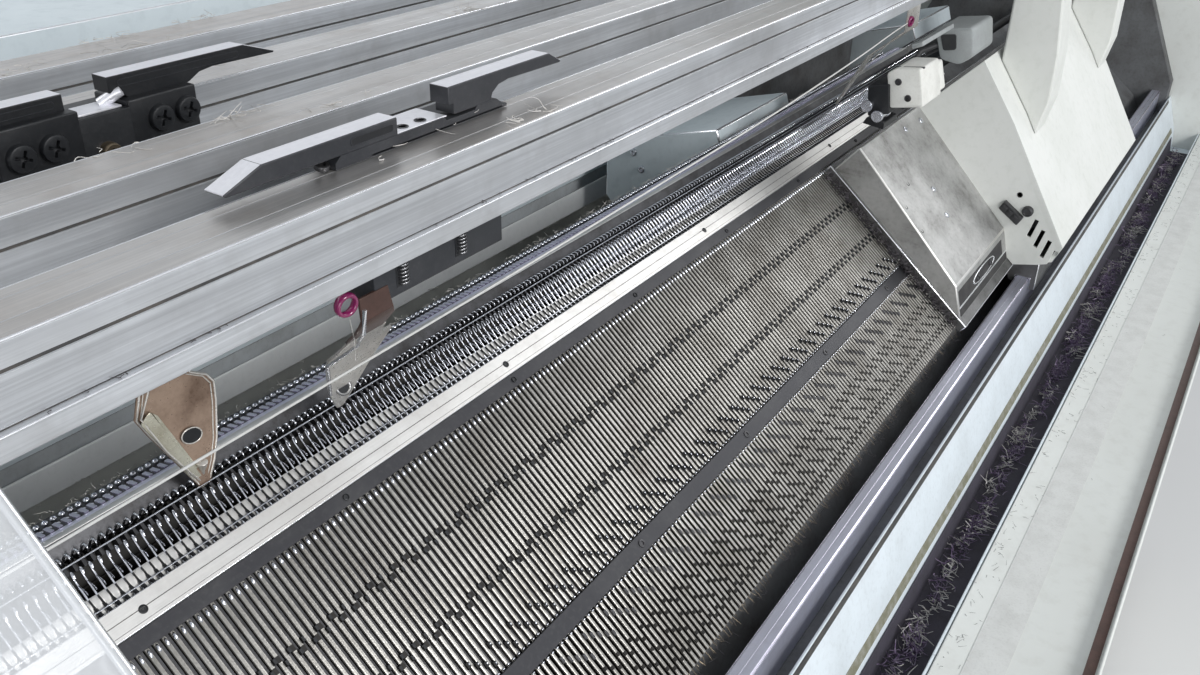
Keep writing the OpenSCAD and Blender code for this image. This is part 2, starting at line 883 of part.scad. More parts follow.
module drive_belt() {
    color([0.55, 0.56, 0.57])
        translate([0, 0, belt_low])
            difference() {
                stadium(belt_in + belt_t, belt_w);
                translate([0, 0, -1])
                    stadium(belt_in, belt_w + 2);
            }
}

module takedown_roller(side) {
    translate([-roller_len / 2, side * roller_out, gap_z - roller_down])
        rotate([0, 90, 0]) {
            cylinder(h = roller_len, r = roller_r, $fn = 96);
            translate([0, 0, -26])
                cylinder(h = roller_len + 52, d = roller_shaft_d, $fn = 48);
        }
}

module takedown_roller_front() {
    color([0.12, 0.12, 0.13]) takedown_roller(-1);
}

module takedown_roller_rear() {
    color([0.12, 0.12, 0.13]) takedown_roller(1);
}

module yarn_table() {
    rear = half_dep - 5;
    front = rear - table_d;
    post_y = half_dep - 68;
    base = gap_z + rear_cover_up + seat;
    color([0.8, 0.81, 0.8]) {
        bar(-table_len / 2, table_len / 2, folded(up([
            [rear, table_up + 20], [rear, table_up], [front, table_up], [front, table_up + 20]
        ]), sheet_t));
        for (x = [-post_gap / 2, post_gap / 2]) {
            translate([x, post_y, base])
                cylinder(h = gap_z + table_up - base - 1, d = post_d, $fn = 48);
            translate([x, post_y, base])
                cylinder(h = 6, d = post_d + 56, $fn = 48);
            translate([x - 15, front - 20, gap_z + table_up - 100])
                cube([30, post_y - front + 20, 20]);
        }
        translate([-table_len / 2 + 50, front - 20, gap_z + table_up - 100])
            cube([table_len - 100, 14, 20]);
    }
}

function tension_x(i) = (i / (tensioner_count - 1) - 0.5) * (table_len - 350);

module yarn_tensioners() {
    y = half_dep - 5 - table_d - 13;
    color([0.65, 0.66, 0.68])
        for (i = [0 : tensioner_count - 1])
            translate([tension_x(i), y, gap_z + table_up - 80 + seat]) {
                cylinder(h = 6, d = 26, $fn = 32);
                cylinder(h = 44, d = 8, $fn = 24);
                translate([0, 0, 24])
                    cylinder(h = 3, d = 22, $fn = 32);
                translate([0, 0, 29])
                    cylinder(h = 3, d = 22, $fn = 32);
            }
}

module shield_rail() {
    color([0.7, 0.71, 0.72])
        bar(-side_x, side_x, up([
            [-shield_out, shield_up], [-shield_in, shield_up],
            [-shield_in, shield_up + 16], [-shield_out, shield_up + 16]
        ]));
}

module front_shield() {
    t = 3;
    out = half_dep - 2 - seat * 2;
    fall = (out - shield_out - seat) * tan(bed_slope);
    top = gap_z + shield_up + 16 + seat;
    low = gap_z + shield_up - 10;
    color([0.8, 0.85, 0.87, 0.6])
        bar(shield_l, shield_r, folded([
            [-shield_in + seat, top - 13.3], [-shield_in + seat, top],
            [-shield_out - seat, top], [-shield_out - seat, low],
            [-out + t, low - fall], [-out + t, ledge_z + seat]
        ], -t));
}

left_pedestal();
right_pedestal();
levelling_feet();
left_end_cover();
right_end_cover();
front_bed_beam();
rear_bed_beam();
front_skirt();
rear_skirt();
rear_cover();
belt_shelf();
front_ledge();
lint_trough();
left_rail_bracket();
right_rail_bracket();
front_needle_bed();
front_needles();
front_sinkers();
front_cap_plate();
front_upper_bar();
front_lower_bar();
rear_needle_bed();
rear_needles();
rear_sinkers();
rear_cap_plate();
feeder_rail_1();
feeder_rail_2();
feeder_rail_3();
feeder_rail_4();
front_guide_rail();
rear_guide_rail();
carriage_bridge();
front_cam_plate();
rear_cam_plate();
front_cam_box_left();
front_cam_box_right();
rear_cam_boxes();
carriage_cover();
left_arch();
right_arch();
feeder_1_carrier();
feeder_1_arms();
feeder_1_nose();
feeder_2_carrier();
feeder_2_arms();
feeder_2_nose();
feeder_2_eyelet();
feeder_3_carrier();
feeder_3_arms();
feeder_3_nose();
feeder_3_eyelet();
drive_pulley_left();
drive_pulley_right();
drive_belt();
takedown_roller_front();
takedown_roller_rear();
yarn_table();
yarn_tensioners();
shield_rail();
front_shield();
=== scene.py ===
"""Looks of a flat knitting machine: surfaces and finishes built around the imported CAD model.

Lengths in the shapes below are millimetres in the machine's frame: X along the beds, Y from front
to rear, Z up. They become metres when a mesh is made. A place on a needle bed is written as s, the
slope distance down from the knitting gap, and h, the height above the slot ridges.
"""
import math

import bmesh
import bpy
import numpy as np
from bpy.props import FloatProperty, FloatVectorProperty, IntProperty, PointerProperty
from bpy.types import Operator, Panel, PropertyGroup
from mathutils import Matrix, Vector


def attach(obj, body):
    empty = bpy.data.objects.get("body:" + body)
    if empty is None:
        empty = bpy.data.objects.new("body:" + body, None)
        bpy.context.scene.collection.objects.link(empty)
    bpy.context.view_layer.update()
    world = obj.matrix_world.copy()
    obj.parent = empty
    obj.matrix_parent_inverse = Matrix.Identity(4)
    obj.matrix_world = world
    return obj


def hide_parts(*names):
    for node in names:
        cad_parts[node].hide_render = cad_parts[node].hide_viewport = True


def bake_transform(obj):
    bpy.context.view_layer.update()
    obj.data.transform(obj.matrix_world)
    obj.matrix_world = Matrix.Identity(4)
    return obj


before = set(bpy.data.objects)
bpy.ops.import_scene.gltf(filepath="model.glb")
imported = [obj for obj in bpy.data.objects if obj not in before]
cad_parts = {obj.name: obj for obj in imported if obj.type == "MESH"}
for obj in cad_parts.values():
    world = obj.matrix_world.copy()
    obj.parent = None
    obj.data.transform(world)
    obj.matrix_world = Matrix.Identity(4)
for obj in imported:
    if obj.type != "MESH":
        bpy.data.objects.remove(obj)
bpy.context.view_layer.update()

bl_info = {
    "name": "Flat Knitting Machine",
    "version": (1, 0, 0),
    "blender": (4, 5, 0),
    "location": "View3D > Sidebar > Knitting",
    "description": "Builds the dressed surfaces of a flat knitting machine around its CAD model",
    "category": "Add Mesh",
}

# Metres in a millimetre, slope of both beds and height of the knitting gap.
MM = 0.001
SLOPE = math.radians(40)
CS, SN = math.cos(SLOPE), math.sin(SLOPE)
GAP_Z = 1000.0

# Needle beds: pitch and number of the needles, width of a ridge, half length of the ridges' field,
# slope distances where ridges start and end, floor of the slots, places of needles and ridges.
PITCH = 3.63
NEEDLES = 280
HALF_BED = NEEDLES * PITCH / 2
RIDGE_W = PITCH / 2
END_X = HALF_BED + RIDGE_W / 2
BED_TOP, BED_END = 26.0, 209.0
SLOT_FLOOR = -5.0
NEEDLE_X = (np.arange(NEEDLES) + 0.5) * PITCH - HALF_BED
RIDGE_X = np.arange(NEEDLES + 1) * PITCH - HALF_BED

# Feeder rails: half length, heights of top, foot and foot ledge, half widths, middles by number.
RUN_X = 1079.7
RAIL_TOP, RAIL_FOOT, RAIL_LEDGE = 1152.0, 1124.8, 1131.3
RAIL_HALF, FOOT_HALF = 12.0, 14.5
RAIL_Y = {1: 96.5, 2: 31.5, 3: -33.5, 4: -98.5}

# Feeders by number: place along the rails, face of the rail that the body hooks over and the side
# that it hangs on, and centre of the yarn ring. Lane of the taut yarn and where it starts and ends.
THREAD_FEEDERS = {2: (-315.0, -86.5, 1), 3: (280.0, -46.5, -1)}
RING_PLACES = {2: (-384, -89.4, 1105), 3: (262, -61.4, 1080)}
YARN_Y, YARN_START, YARN_END = -60.6, -1078, 262

# Front ledge: height and half length. Half length over which loose fibres lie.
LEDGE_Z, LEDGE_X = 800.0, 1075.0
FLUFF_X = 1070.0

# Way from the left cam box to the right one. Rows (r, z) of a small hole with a raised rim.
BOX_STEP = 496.0
HOLE_SECTION = [(1.9, 0), (1.9, 0.5), (1.5, 0.5), (1.4, 0.1), (0.1, 0.1)]

# Camera of the photograph: yaw, pitch and roll in degrees, place in metres, lens in mm, shift.
VIEW_TURN = (56.93, 27.65, -1.17)
VIEW_PLACE = (-0.5930, -0.3246, 1.2655)
VIEW_LENS, VIEW_SHIFT = 31.5, -0.02625

# Lamps: name, place and target in metres, side in metres and power in watts.
LAMPS = (
    ("key", (-1.6, 1.5, 3.6), (-0.1, 0.0, 1.0), 1.8, 38),
    ("front", (-0.3, -2.7, 2.62), (-0.1, 0.2, 0.9), 0.8, 62),
    ("right", (3.2, -1.5, 3.0), (0.0, 0.0, 1.0), 1.8, 36),
    ("low", (-2.3, -1.7, 1.3), (-0.1, 0.1, 1.02), 1.1, 30),
)


# Shapes.
def bed_point(x, s, h, side=-1):
    """Point of a bed: y = side (s cos a + h sin a), z = gap - s sin a + h cos a."""
    return points(x, side * (s * CS + h * SN), GAP_Z - s * SN + h * CS).astype(float)


def points(x, y, z):
    """Rows of points from coordinates that are arrays or single numbers."""
    return np.stack(np.broadcast_arrays(x, y, z), axis=-1)


def orient(verts, faces):
    """Turns a closed shape so that its signed volume, the sum of p0.(p1 x p2) / 6, is positive."""
    total = 0.0
    for block in faces:
        p = verts[block]
        for k in range(1, block.shape[1] - 1):
            total += np.einsum("ij,ij->", p[:, 0], np.cross(p[:, k], p[:, k + 1]))
    return faces if total >= 0 else [block[:, ::-1] for block in faces]


def grid_faces(rows, cols, wrap_rows=False, wrap_cols=False):
    """Quads between neighbours of a rows by cols grid of points."""
    i = np.arange(rows if wrap_rows else rows - 1)[:, None]
    j = np.arange(cols if wrap_cols else cols - 1)[None, :]
    i2, j2 = (i + 1) % rows, (j + 1) % cols
    return np.stack(
        [i * cols + j, i * cols + j2, i2 * cols + j2, i2 * cols + j], axis=-1
    ).reshape(-1, 4)


def capped_faces(rows, cols):
    """Faces of a closed profile of cols points carried through rows sections, ends capped."""
    cap = np.arange(cols)
    return [grid_faces(rows, cols, wrap_cols=True), cap[None, ::-1],
            ((rows - 1) * cols + cap)[None]]


def repeated(faces, size, n):
    """Faces of n copies of a shape of size points."""
    base = (np.arange(n) * size)[:, None, None]
    return [(block[None] + base).reshape(-1, block.shape[1]) for block in faces]


def loft(sections):
    """A closed profile carried through sections: P(u, v) = section u at profile point v."""
    sections = np.asarray(sections, float)
    verts = sections.reshape(-1, 3)
    return verts, orient(verts, capped_faces(*sections.shape[:2]))


def ring_loft(sections):
    """A closed profile carried round a closed path: P(u, v) wraps in both directions."""
    sections = np.asarray(sections, float)
    m, n = sections.shape[:2]
    verts = sections.reshape(-1, 3)
    return verts, orient(verts, [grid_faces(m, n, True, True)])


def rounded(outline, r, n=3):
    """Outline with each corner c replaced by the curve (1-t)^2 a + 2t(1-t) c + t^2 b.

    a and b lie r from the corner along its two edges, or 0.45 of an edge where that is less.
    """
    c = np.asarray(outline, float)
    r = np.broadcast_to(np.asarray(r, float), len(c))[:, None]
    before, after = np.roll(c, 1, 0) - c, np.roll(c, -1, 0) - c
    lb = np.linalg.norm(before, axis=1, keepdims=True)
    la = np.linalg.norm(after, axis=1, keepdims=True)
    a = c + before / lb * np.minimum(r, 0.45 * lb)
    b = c + after / la * np.minimum(r, 0.45 * la)
    t = np.linspace(0, 1, n + 1)[None, :, None]
    curve = (1 - t) ** 2 * a[:, None] + 2 * t * (1 - t) * c[:, None] + t**2 * b[:, None]
    return curve.reshape(-1, c.shape[1])


def folded(path, t):
    """Outline of a folded sheet: the path, then the path moved t along its mitred normals."""
    p = np.asarray(path, float)
    d = np.diff(p, axis=0)
    d /= np.linalg.norm(d, axis=1, keepdims=True)
    n = np.stack([-d[:, 1], d[:, 0]], axis=1)
    first, last = np.vstack([n[:1], n]), np.vstack([n, n[-1:]])
    m = first + last
    m /= np.linalg.norm(m, axis=1, keepdims=True)
    off = p + m * (t / np.einsum("ij,ij->i", m, first))[:, None]
    return np.vstack([p, off[::-1]])


def prism(axis, a, b, outline, edge=0.0):
    """An outline carried along an axis from a to b, its last edge mm at each end drawn in.

    The axis is 0 for an outline in y and z, 1 for one in x and z, and 2 for one in x and y.
    """
    o = np.asarray(outline, float)
    if edge > 0:
        small = inset(o, edge)
        spans = [(a, small), (a + edge * 0.3, inset(o, edge * 0.3)), (a + edge, o),
                 (b - edge, o), (b - edge * 0.3, inset(o, edge * 0.3)), (b, small)]
    else:
        spans = [(a, o), (b, o)]
    rest = [k for k in range(3) if k != axis]
    sections = np.zeros((len(spans), len(o), 3))
    for i, (place, shape) in enumerate(spans):
        sections[i, :, axis] = place
        sections[i][:, rest] = shape
    return loft(sections)


def inset(outline, d):
    """Outline moved d inwards along the mean normal of the two edges at each point."""
    o = np.asarray(outline, float)
    e = np.roll(o, -1, 0) - o
    area = 0.5 * np.sum(o[:, 0] * np.roll(o[:, 1], -1) - np.roll(o[:, 0], -1) * o[:, 1])
    n = np.stack([-e[:, 1], e[:, 0]], axis=1) * np.sign(area)
    n /= np.maximum(np.linalg.norm(n, axis=1, keepdims=True), 1e-9)
    m = n + np.roll(n, 1, 0)
    m /= np.maximum(np.linalg.norm(m, axis=1, keepdims=True), 1e-9)
    return o + m * d


def frames(path, up):
    """Unit tangent, side and top of each point of a path, the side square to the up vector."""
    p = np.asarray(path, float)
    t = np.gradient(p, axis=0)
    t /= np.linalg.norm(t, axis=1, keepdims=True)
    side = np.cross(t, np.asarray(up, float))
    side /= np.maximum(np.linalg.norm(side, axis=1, keepdims=True), 1e-9)
    return t, side, np.cross(side, t)


def tube(path, radius, n=8, up=(0, 0, 1), flat=1.0):
    """P(u, v) = path(u) + r(u) (side cos v + flat top sin v), capped at both ends."""
    p = np.asarray(path, float)
    _, side, top = frames(p, up)
    r = np.broadcast_to(np.asarray(radius, float), len(p))[:, None, None]
    v = np.linspace(0, 2 * np.pi, n, endpoint=False)[None, :, None]
    return loft(p[:, None] + r * (side[:, None] * np.cos(v) + flat * top[:, None] * np.sin(v)))


def ring(centre, axis, radius, wire, n=40, m=10, flat=1.0):
    """Torus: centre + (R + r cos v)(e1 cos u + e2 sin u) + r flat sin v axis."""
    a = np.asarray(axis, float) / np.linalg.norm(axis)
    e1 = np.cross(a, [0.3, 0.5, 0.8])
    e1 /= np.linalg.norm(e1)
    e2 = np.cross(a, e1)
    u = np.linspace(0, 2 * np.pi, n, endpoint=False)[:, None, None]
    v = np.linspace(0, 2 * np.pi, m, endpoint=False)[None, :, None]
    out = (radius + wire * np.cos(v)) * (e1 * np.cos(u) + e2 * np.sin(u))
    return ring_loft(np.asarray(centre, float) + out + wire * flat * np.sin(v) * a)


def spindle(centre, axis, profile, n=24, turn=None):
    """Solid of revolution: centre + z axis + r k(u) (e1 cos u + e2 sin u) for profile rows (r, z).

    turn maps the angle u to a factor k for the rows marked in its second part.
    """
    a = np.asarray(axis, float) / np.linalg.norm(axis)
    e1 = np.cross(a, [0.31, 0.52, 0.79])
    e1 /= np.linalg.norm(e1)
    e2 = np.cross(a, e1)
    u = np.linspace(0, 2 * np.pi, n, endpoint=False)
    r, z = np.asarray(profile, float).T
    k = np.ones((len(r), n))
    if turn is not None:
        shape, rows = turn
        k[rows] = shape(u)
    around = e1 * np.cos(u)[:, None] + e2 * np.sin(u)[:, None]
    p = np.asarray(centre, float) + (r[:, None] * k)[..., None] * around + z[:, None, None] * a
    return loft(p)


def hexagon(u):
    """Distance to a hexagon's side over its corner radius, at angle u."""
    w = np.mod(u, np.pi / 3) - np.pi / 6
    return np.cos(np.pi / 6) / np.cos(w)


def cross(u):
    """Distance to the edge of a four-armed cross over its arm length, at angle u."""
    w = np.mod(u, np.pi / 2) - np.pi / 4
    return np.where(np.abs(w) > np.pi / 4 - 0.35, 1.0, 0.42 / np.cos(w))


def screw(centre, axis, r, h, recess="hex"):
    """Screw head: rim, chamfer and flat top, then a hexagon or cross sunk to 0.4 of its height."""
    shape = hexagon if recess == "hex" else cross
    k = 0.55 if recess == "hex" else 0.62
    profile = [(r, 0), (r, 0.72 * h), (0.94 * r, 0.93 * h), (0.84 * r, h), (k * r, h),
               (k * r * 0.96, 0.9 * h), (k * r * 0.94, 0.4 * h), (0.02, 0.3 * h)]
    return spindle(centre, axis, profile, 32, (shape, [4, 5, 6]))


def merge(*parts):
    """Several shapes as one, each keeping its own points."""
    verts, faces, base = [], [], 0
    for v, f in parts:
        verts.append(v)
        faces += [block + base for block in f]
        base += len(v)
    return np.vstack(verts), faces


def tile(part, offsets):
    """Copies of one shape, each moved by one row of offsets."""
    v, f = part
    off = np.asarray(offsets, float)
    return (v[None] + off[:, None]).reshape(-1, 3), repeated(f, len(v), len(off))


def along(xs):
    """Offsets that move a shape to each place in xs along the beds."""
    return points(xs, 0.0, 0.0)


def fluff(places, length, curl, radius, rng, flat=0.5, steps=6):
    """Curled fibres, three-sided: P(t) = p + l (w t + b t^2 + c (sin(4t + f) - sin f)).

    w, b and c are random vectors for each fibre, their upward part scaled by flat. A fibre thins
    to 0.4 of its radius at its end.
    """
    n = len(places)
    squeeze = np.array([1, 1, flat])
    t = np.linspace(0, 1, steps)[None, :, None]
    way = rng.normal(size=(n, 1, 3)) * squeeze
    way /= np.linalg.norm(way, axis=2, keepdims=True)
    bend = rng.normal(size=(n, 1, 3)) * squeeze * curl * 0.6
    wave = rng.normal(size=(n, 1, 3)) * squeeze * curl * 0.3
    phase = rng.uniform(0, 6.28, (n, 1, 1))
    size = rng.uniform(0.35, 1.0, (n, 1, 1)) * length
    path = size * (way * t + bend * t**2 + wave * (np.sin(4 * t + phase) - np.sin(phase)))
    path[..., 2] = np.abs(path[..., 2]) if flat < 0.4 else path[..., 2]
    path += np.asarray(places, float)[:, None]
    side = np.cross(way, [0.21, 0.32, 0.92])
    side /= np.linalg.norm(side, axis=2, keepdims=True)
    top = np.cross(side, way)
    v = np.arange(3) * 2 * np.pi / 3
    ring_of = side[:, :, None] * np.cos(v)[:, None] + top[:, :, None] * np.sin(v)[:, None]
    verts = path[:, :, None] + radius * (1 - 0.6 * t)[..., None] * ring_of
    one = orient(verts[0].reshape(-1, 3), capped_faces(steps, 3))
    return verts.reshape(-1, 3), repeated(one, steps * 3, n)


# Pieces.
def add_piece(name, parts, look, body="frame", replaces=(), smooth=35, edge=0.0,
              steps=2, bevel_look=None):
    """A mesh object at the origin made of the given shapes, riding on a body if one is named."""
    verts, faces = merge(*parts) if isinstance(parts, list) else parts
    mesh = bpy.data.meshes.new(name)
    mesh.from_pydata((verts * MM).tolist(), [], [f for block in faces for f in block.tolist()])
    return finish_piece(name, mesh, look, body, replaces, smooth, edge, steps, bevel_look)


def finish_piece(name, mesh, look, body, replaces, smooth, edge, steps, bevel_look):
    """Links a mesh as a piece: materials, smooth shading below an angle, a bevel whose faces may
    take a second look.
    """
    obj = bpy.data.objects.new(name, mesh)
    bpy.context.scene.collection.objects.link(obj)
    mesh.materials.clear()
    mesh.materials.append(LOOKS[look])
    if bevel_look:
        mesh.materials.append(LOOKS[bevel_look])
    mesh.polygons.foreach_set("use_smooth", np.ones(len(mesh.polygons), bool))
    if edge > 0:
        bevel = obj.modifiers.new("Rounded edges", "BEVEL")
        bevel.width = edge * MM
        bevel.segments = steps
        bevel.limit_method = "ANGLE"
        bevel.angle_limit = math.radians(25)
        bevel.harden_normals = False
        # The bevel faces take the second material, mostly a brighter one that paints a highlight
        # along the rounded edges.
        if bevel_look:
            bevel.material = 1
    mesh.set_sharp_from_angle(angle=math.radians(smooth))
    if body:
        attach(obj, body)
    if replaces:
        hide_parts(*replaces)
    return obj


def dressed(node, look, edge, slot=None, bevel_look=None, body="frame", steps=2):
    """A copy of a CAD node, merged and with rounded edges, that stands in its place."""
    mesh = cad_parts[node].data.copy()
    bm = bmesh.new()
    bm.from_mesh(mesh)
    bmesh.ops.remove_doubles(bm, verts=bm.verts, dist=2e-5)
    bmesh.ops.dissolve_limit(bm, angle_limit=math.radians(1), verts=bm.verts, edges=bm.edges)
    bm.to_mesh(mesh)
    bm.free()
    return finish_piece(node + "_dressed", mesh, look, body, (node,), 35, edge, steps, bevel_look)


def dress_rows(rows, **options):
    """Dresses nodes from rows (nodes parted by spaces, look, edge, slot, which is not used, look of
    the bevel faces).
    """
    for nodes, look, edge, slot, bevel_look in rows:
        for node in nodes.split():
            dressed(node, look, edge, slot, bevel_look, **options)


# Finishes.
def node_group(name, inputs, outputs):
    """A node group with the given sockets: its tree, a look-up of its inputs and its output node.

    inputs holds (name, default) pairs: None makes a vector, a tuple a colour, a number a value.
    """
    t = bpy.data.node_groups.new(name, "ShaderNodeTree")
    for key, default in inputs:
        kind = {type(None): "Vector", tuple: "Color"}.get(type(default), "Float")
        s = t.interface.new_socket(name=key, in_out="INPUT", socket_type="NodeSocket" + kind)
        if default is not None:
            s.default_value = default
    for key in outputs:
        kind = "NodeSocketColor" if key == "Color" else "NodeSocketFloat"
        t.interface.new_socket(name=key, in_out="OUTPUT", socket_type=kind)
    return t, t.nodes.new("NodeGroupInput").outputs, t.nodes.new("NodeGroupOutput").inputs


def feed(tree, socket, value):
    """Sets a socket to a number or a colour, or links it to the output of another node."""
    if isinstance(value, (int, float)):
        socket.default_value = value
    elif isinstance(value, (tuple, list)):
        socket.default_value = (*value[:3], 1)
    else:
        tree.links.new(value, socket)


def maths(tree, operation, a, b, clamp=False):
    """A Math node of two values, each a socket or a number."""
    node = tree.nodes.new("ShaderNodeMath")
    node.operation = operation
    node.use_clamp = clamp
    feed(tree, node.inputs[0], a)
    feed(tree, node.inputs[1], b)
    return node.outputs[0]


def mix_colour(tree, factor, a, b):
    """A colour between a and b by a factor."""
    node = tree.nodes.new("ShaderNodeMix")
    node.data_type = "RGBA"
    for key, v in (("Factor", factor), ("A", a), ("B", b)):
        into = [s for s in node.inputs if s.name == key and s.type in ("VALUE", "RGBA")]
        feed(tree, next(s for s in into if (s.type == "RGBA") == (key != "Factor")), v)
    return [s for s in node.outputs if s.type == "RGBA"][0]


def noise(tree, vector, scale, detail=4.0, rough=0.55, distort=0.0):
    """A noise value in the given coordinates."""
    node = tree.nodes.new("ShaderNodeTexNoise")
    node.inputs["Detail"].default_value = detail
    node.inputs["Roughness"].default_value = rough
    node.inputs["Distortion"].default_value = distort
    feed(tree, node.inputs["Scale"], scale)
    tree.links.new(vector, node.inputs["Vector"])
    return node.outputs["Fac"]


def stretch(tree, vector, scale):
    """Coordinates scaled by a fixed amount along each axis."""
    node = tree.nodes.new("ShaderNodeMapping")
    node.inputs["Scale"].default_value = scale
    tree.links.new(vector, node.inputs["Vector"])
    return node.outputs[0]


def band(tree, value, low, high):
    """0 below low, 1 above high and a straight rise between."""
    node = tree.nodes.new("ShaderNodeMapRange")
    node.clamp = True
    tree.links.new(value, node.inputs["Value"])
    node.inputs["From Min"].default_value = low
    node.inputs["From Max"].default_value = high
    return node.outputs["Result"]


def worn_group():
    """Group for mottled surfaces: a clean and a stained colour, a roughness range and a height."""
    t, given, out = node_group(
        "Mottled Surface",
        (("Vector", None), ("Clean", (0.5, 0.5, 0.5, 1)), ("Stained", (0.2, 0.2, 0.2, 1)),
         ("Scale", 30.0), ("Stain", 0.5), ("Smoothest", 0.3), ("Roughest", 0.6)),
        ("Color", "Roughness", "Height"))
    broad = noise(t, given["Vector"], given["Scale"], 5.0, 0.6)
    fine = noise(t, given["Vector"], maths(t, "MULTIPLY", given["Scale"], 11.0), 3.0, 0.6)
    spots = maths(t, "MULTIPLY", band(t, broad, 0.42, 0.72), given["Stain"])
    spots = maths(t, "ADD", spots, maths(t, "MULTIPLY", band(t, fine, 0.5, 0.8), 0.3), True)
    t.links.new(mix_colour(t, spots, given["Clean"], given["Stained"]), out["Color"])
    span = maths(t, "SUBTRACT", given["Roughest"], given["Smoothest"])
    rough = maths(t, "ADD", given["Smoothest"], maths(t, "MULTIPLY", span, fine))
    t.links.new(rough, out["Roughness"])
    t.links.new(maths(t, "ADD", maths(t, "MULTIPLY", fine, 0.7), broad), out["Height"])
    return t


def brushed_group():
    """Group for drawn and ground metal: streaks along X, as a tint factor and a height."""
    t, given, out = node_group("Brushed Streaks", (("Vector", None), ("Fineness", 1.0)),
                               ("Streak", "Height"))
    wide = noise(t, stretch(t, given["Vector"], (2.5, 160, 160)), given["Fineness"], 3.0, 0.6)
    thin = noise(t, stretch(t, given["Vector"], (14, 1500, 1500)), given["Fineness"], 2.0, 0.7)
    streak = maths(t, "ADD", maths(t, "MULTIPLY", wide, 0.55), maths(t, "MULTIPLY", thin, 0.45))
    t.links.new(streak, out["Streak"])
    t.links.new(thin, out["Height"])
    return t


GROUPS = {}
LOOKS = {}
STREAK_TURN = {"Y": (0, 0, math.pi / 2), "S": (0, SLOPE, math.pi / 2)}


def use_group(tree, key, where, **values):
    """One of the shared groups in a material, with its coordinates and input values."""
    node = tree.nodes.new("ShaderNodeGroup")
    node.node_tree = GROUPS[key]
    tree.links.new(where, node.inputs["Vector"])
    for name, value in values.items():
        node.inputs[name].default_value = value
    return node


def finish(name, clean, stained, scale=30, stain=0.5, rough=(0.3, 0.6), metal=0.0, bump=0.15,
           brushed=None, coat=0.0, along_axis="X"):
    """A material from the shared groups: mottling and streaks along one axis."""
    m = bpy.data.materials.new(name)
    m.use_nodes = True
    t = m.node_tree
    shader = next(n for n in t.nodes if n.type == "BSDF_PRINCIPLED")
    shader.inputs["Metallic"].default_value = metal
    shader.inputs["Coat Weight"].default_value = coat
    where = t.nodes.new("ShaderNodeTexCoord").outputs["Object"]
    g = use_group(t, "mottled", where, Clean=(*clean, 1), Stained=(*stained, 1), Scale=scale,
                  Stain=stain, Smoothest=rough[0], Roughest=rough[1])
    colour, roughness, height = g.outputs["Color"], g.outputs["Roughness"], g.outputs["Height"]
    if brushed:
        way = where
        if along_axis != "X":
            turn = t.nodes.new("ShaderNodeMapping")
            turn.inputs["Rotation"].default_value = STREAK_TURN[along_axis]
            t.links.new(where, turn.inputs["Vector"])
            way = turn.outputs[0]
        b = use_group(t, "brushed", way, Fineness=1.0)
        dark = [c * (1 - brushed) for c in clean]
        shade = mix_colour(t, band(t, b.outputs["Streak"], 0.35, 0.65), dark, colour)
        colour = mix_colour(t, 0.75, colour, shade)
        height = maths(t, "ADD", maths(t, "MULTIPLY", height, 0.4), b.outputs["Height"])
        roughness = maths(t, "ADD", roughness, maths(t, "MULTIPLY", b.outputs["Streak"], 0.12))
    t.links.new(colour, shader.inputs["Base Color"])
    t.links.new(roughness, shader.inputs["Roughness"])
    if bump > 0:
        node = t.nodes.new("ShaderNodeBump")
        node.inputs["Strength"].default_value = bump
        node.inputs["Distance"].default_value = 0.0004
        t.links.new(height, node.inputs["Height"])
        t.links.new(node.outputs[0], shader.inputs["Normal"])
    LOOKS[name] = m
    return m


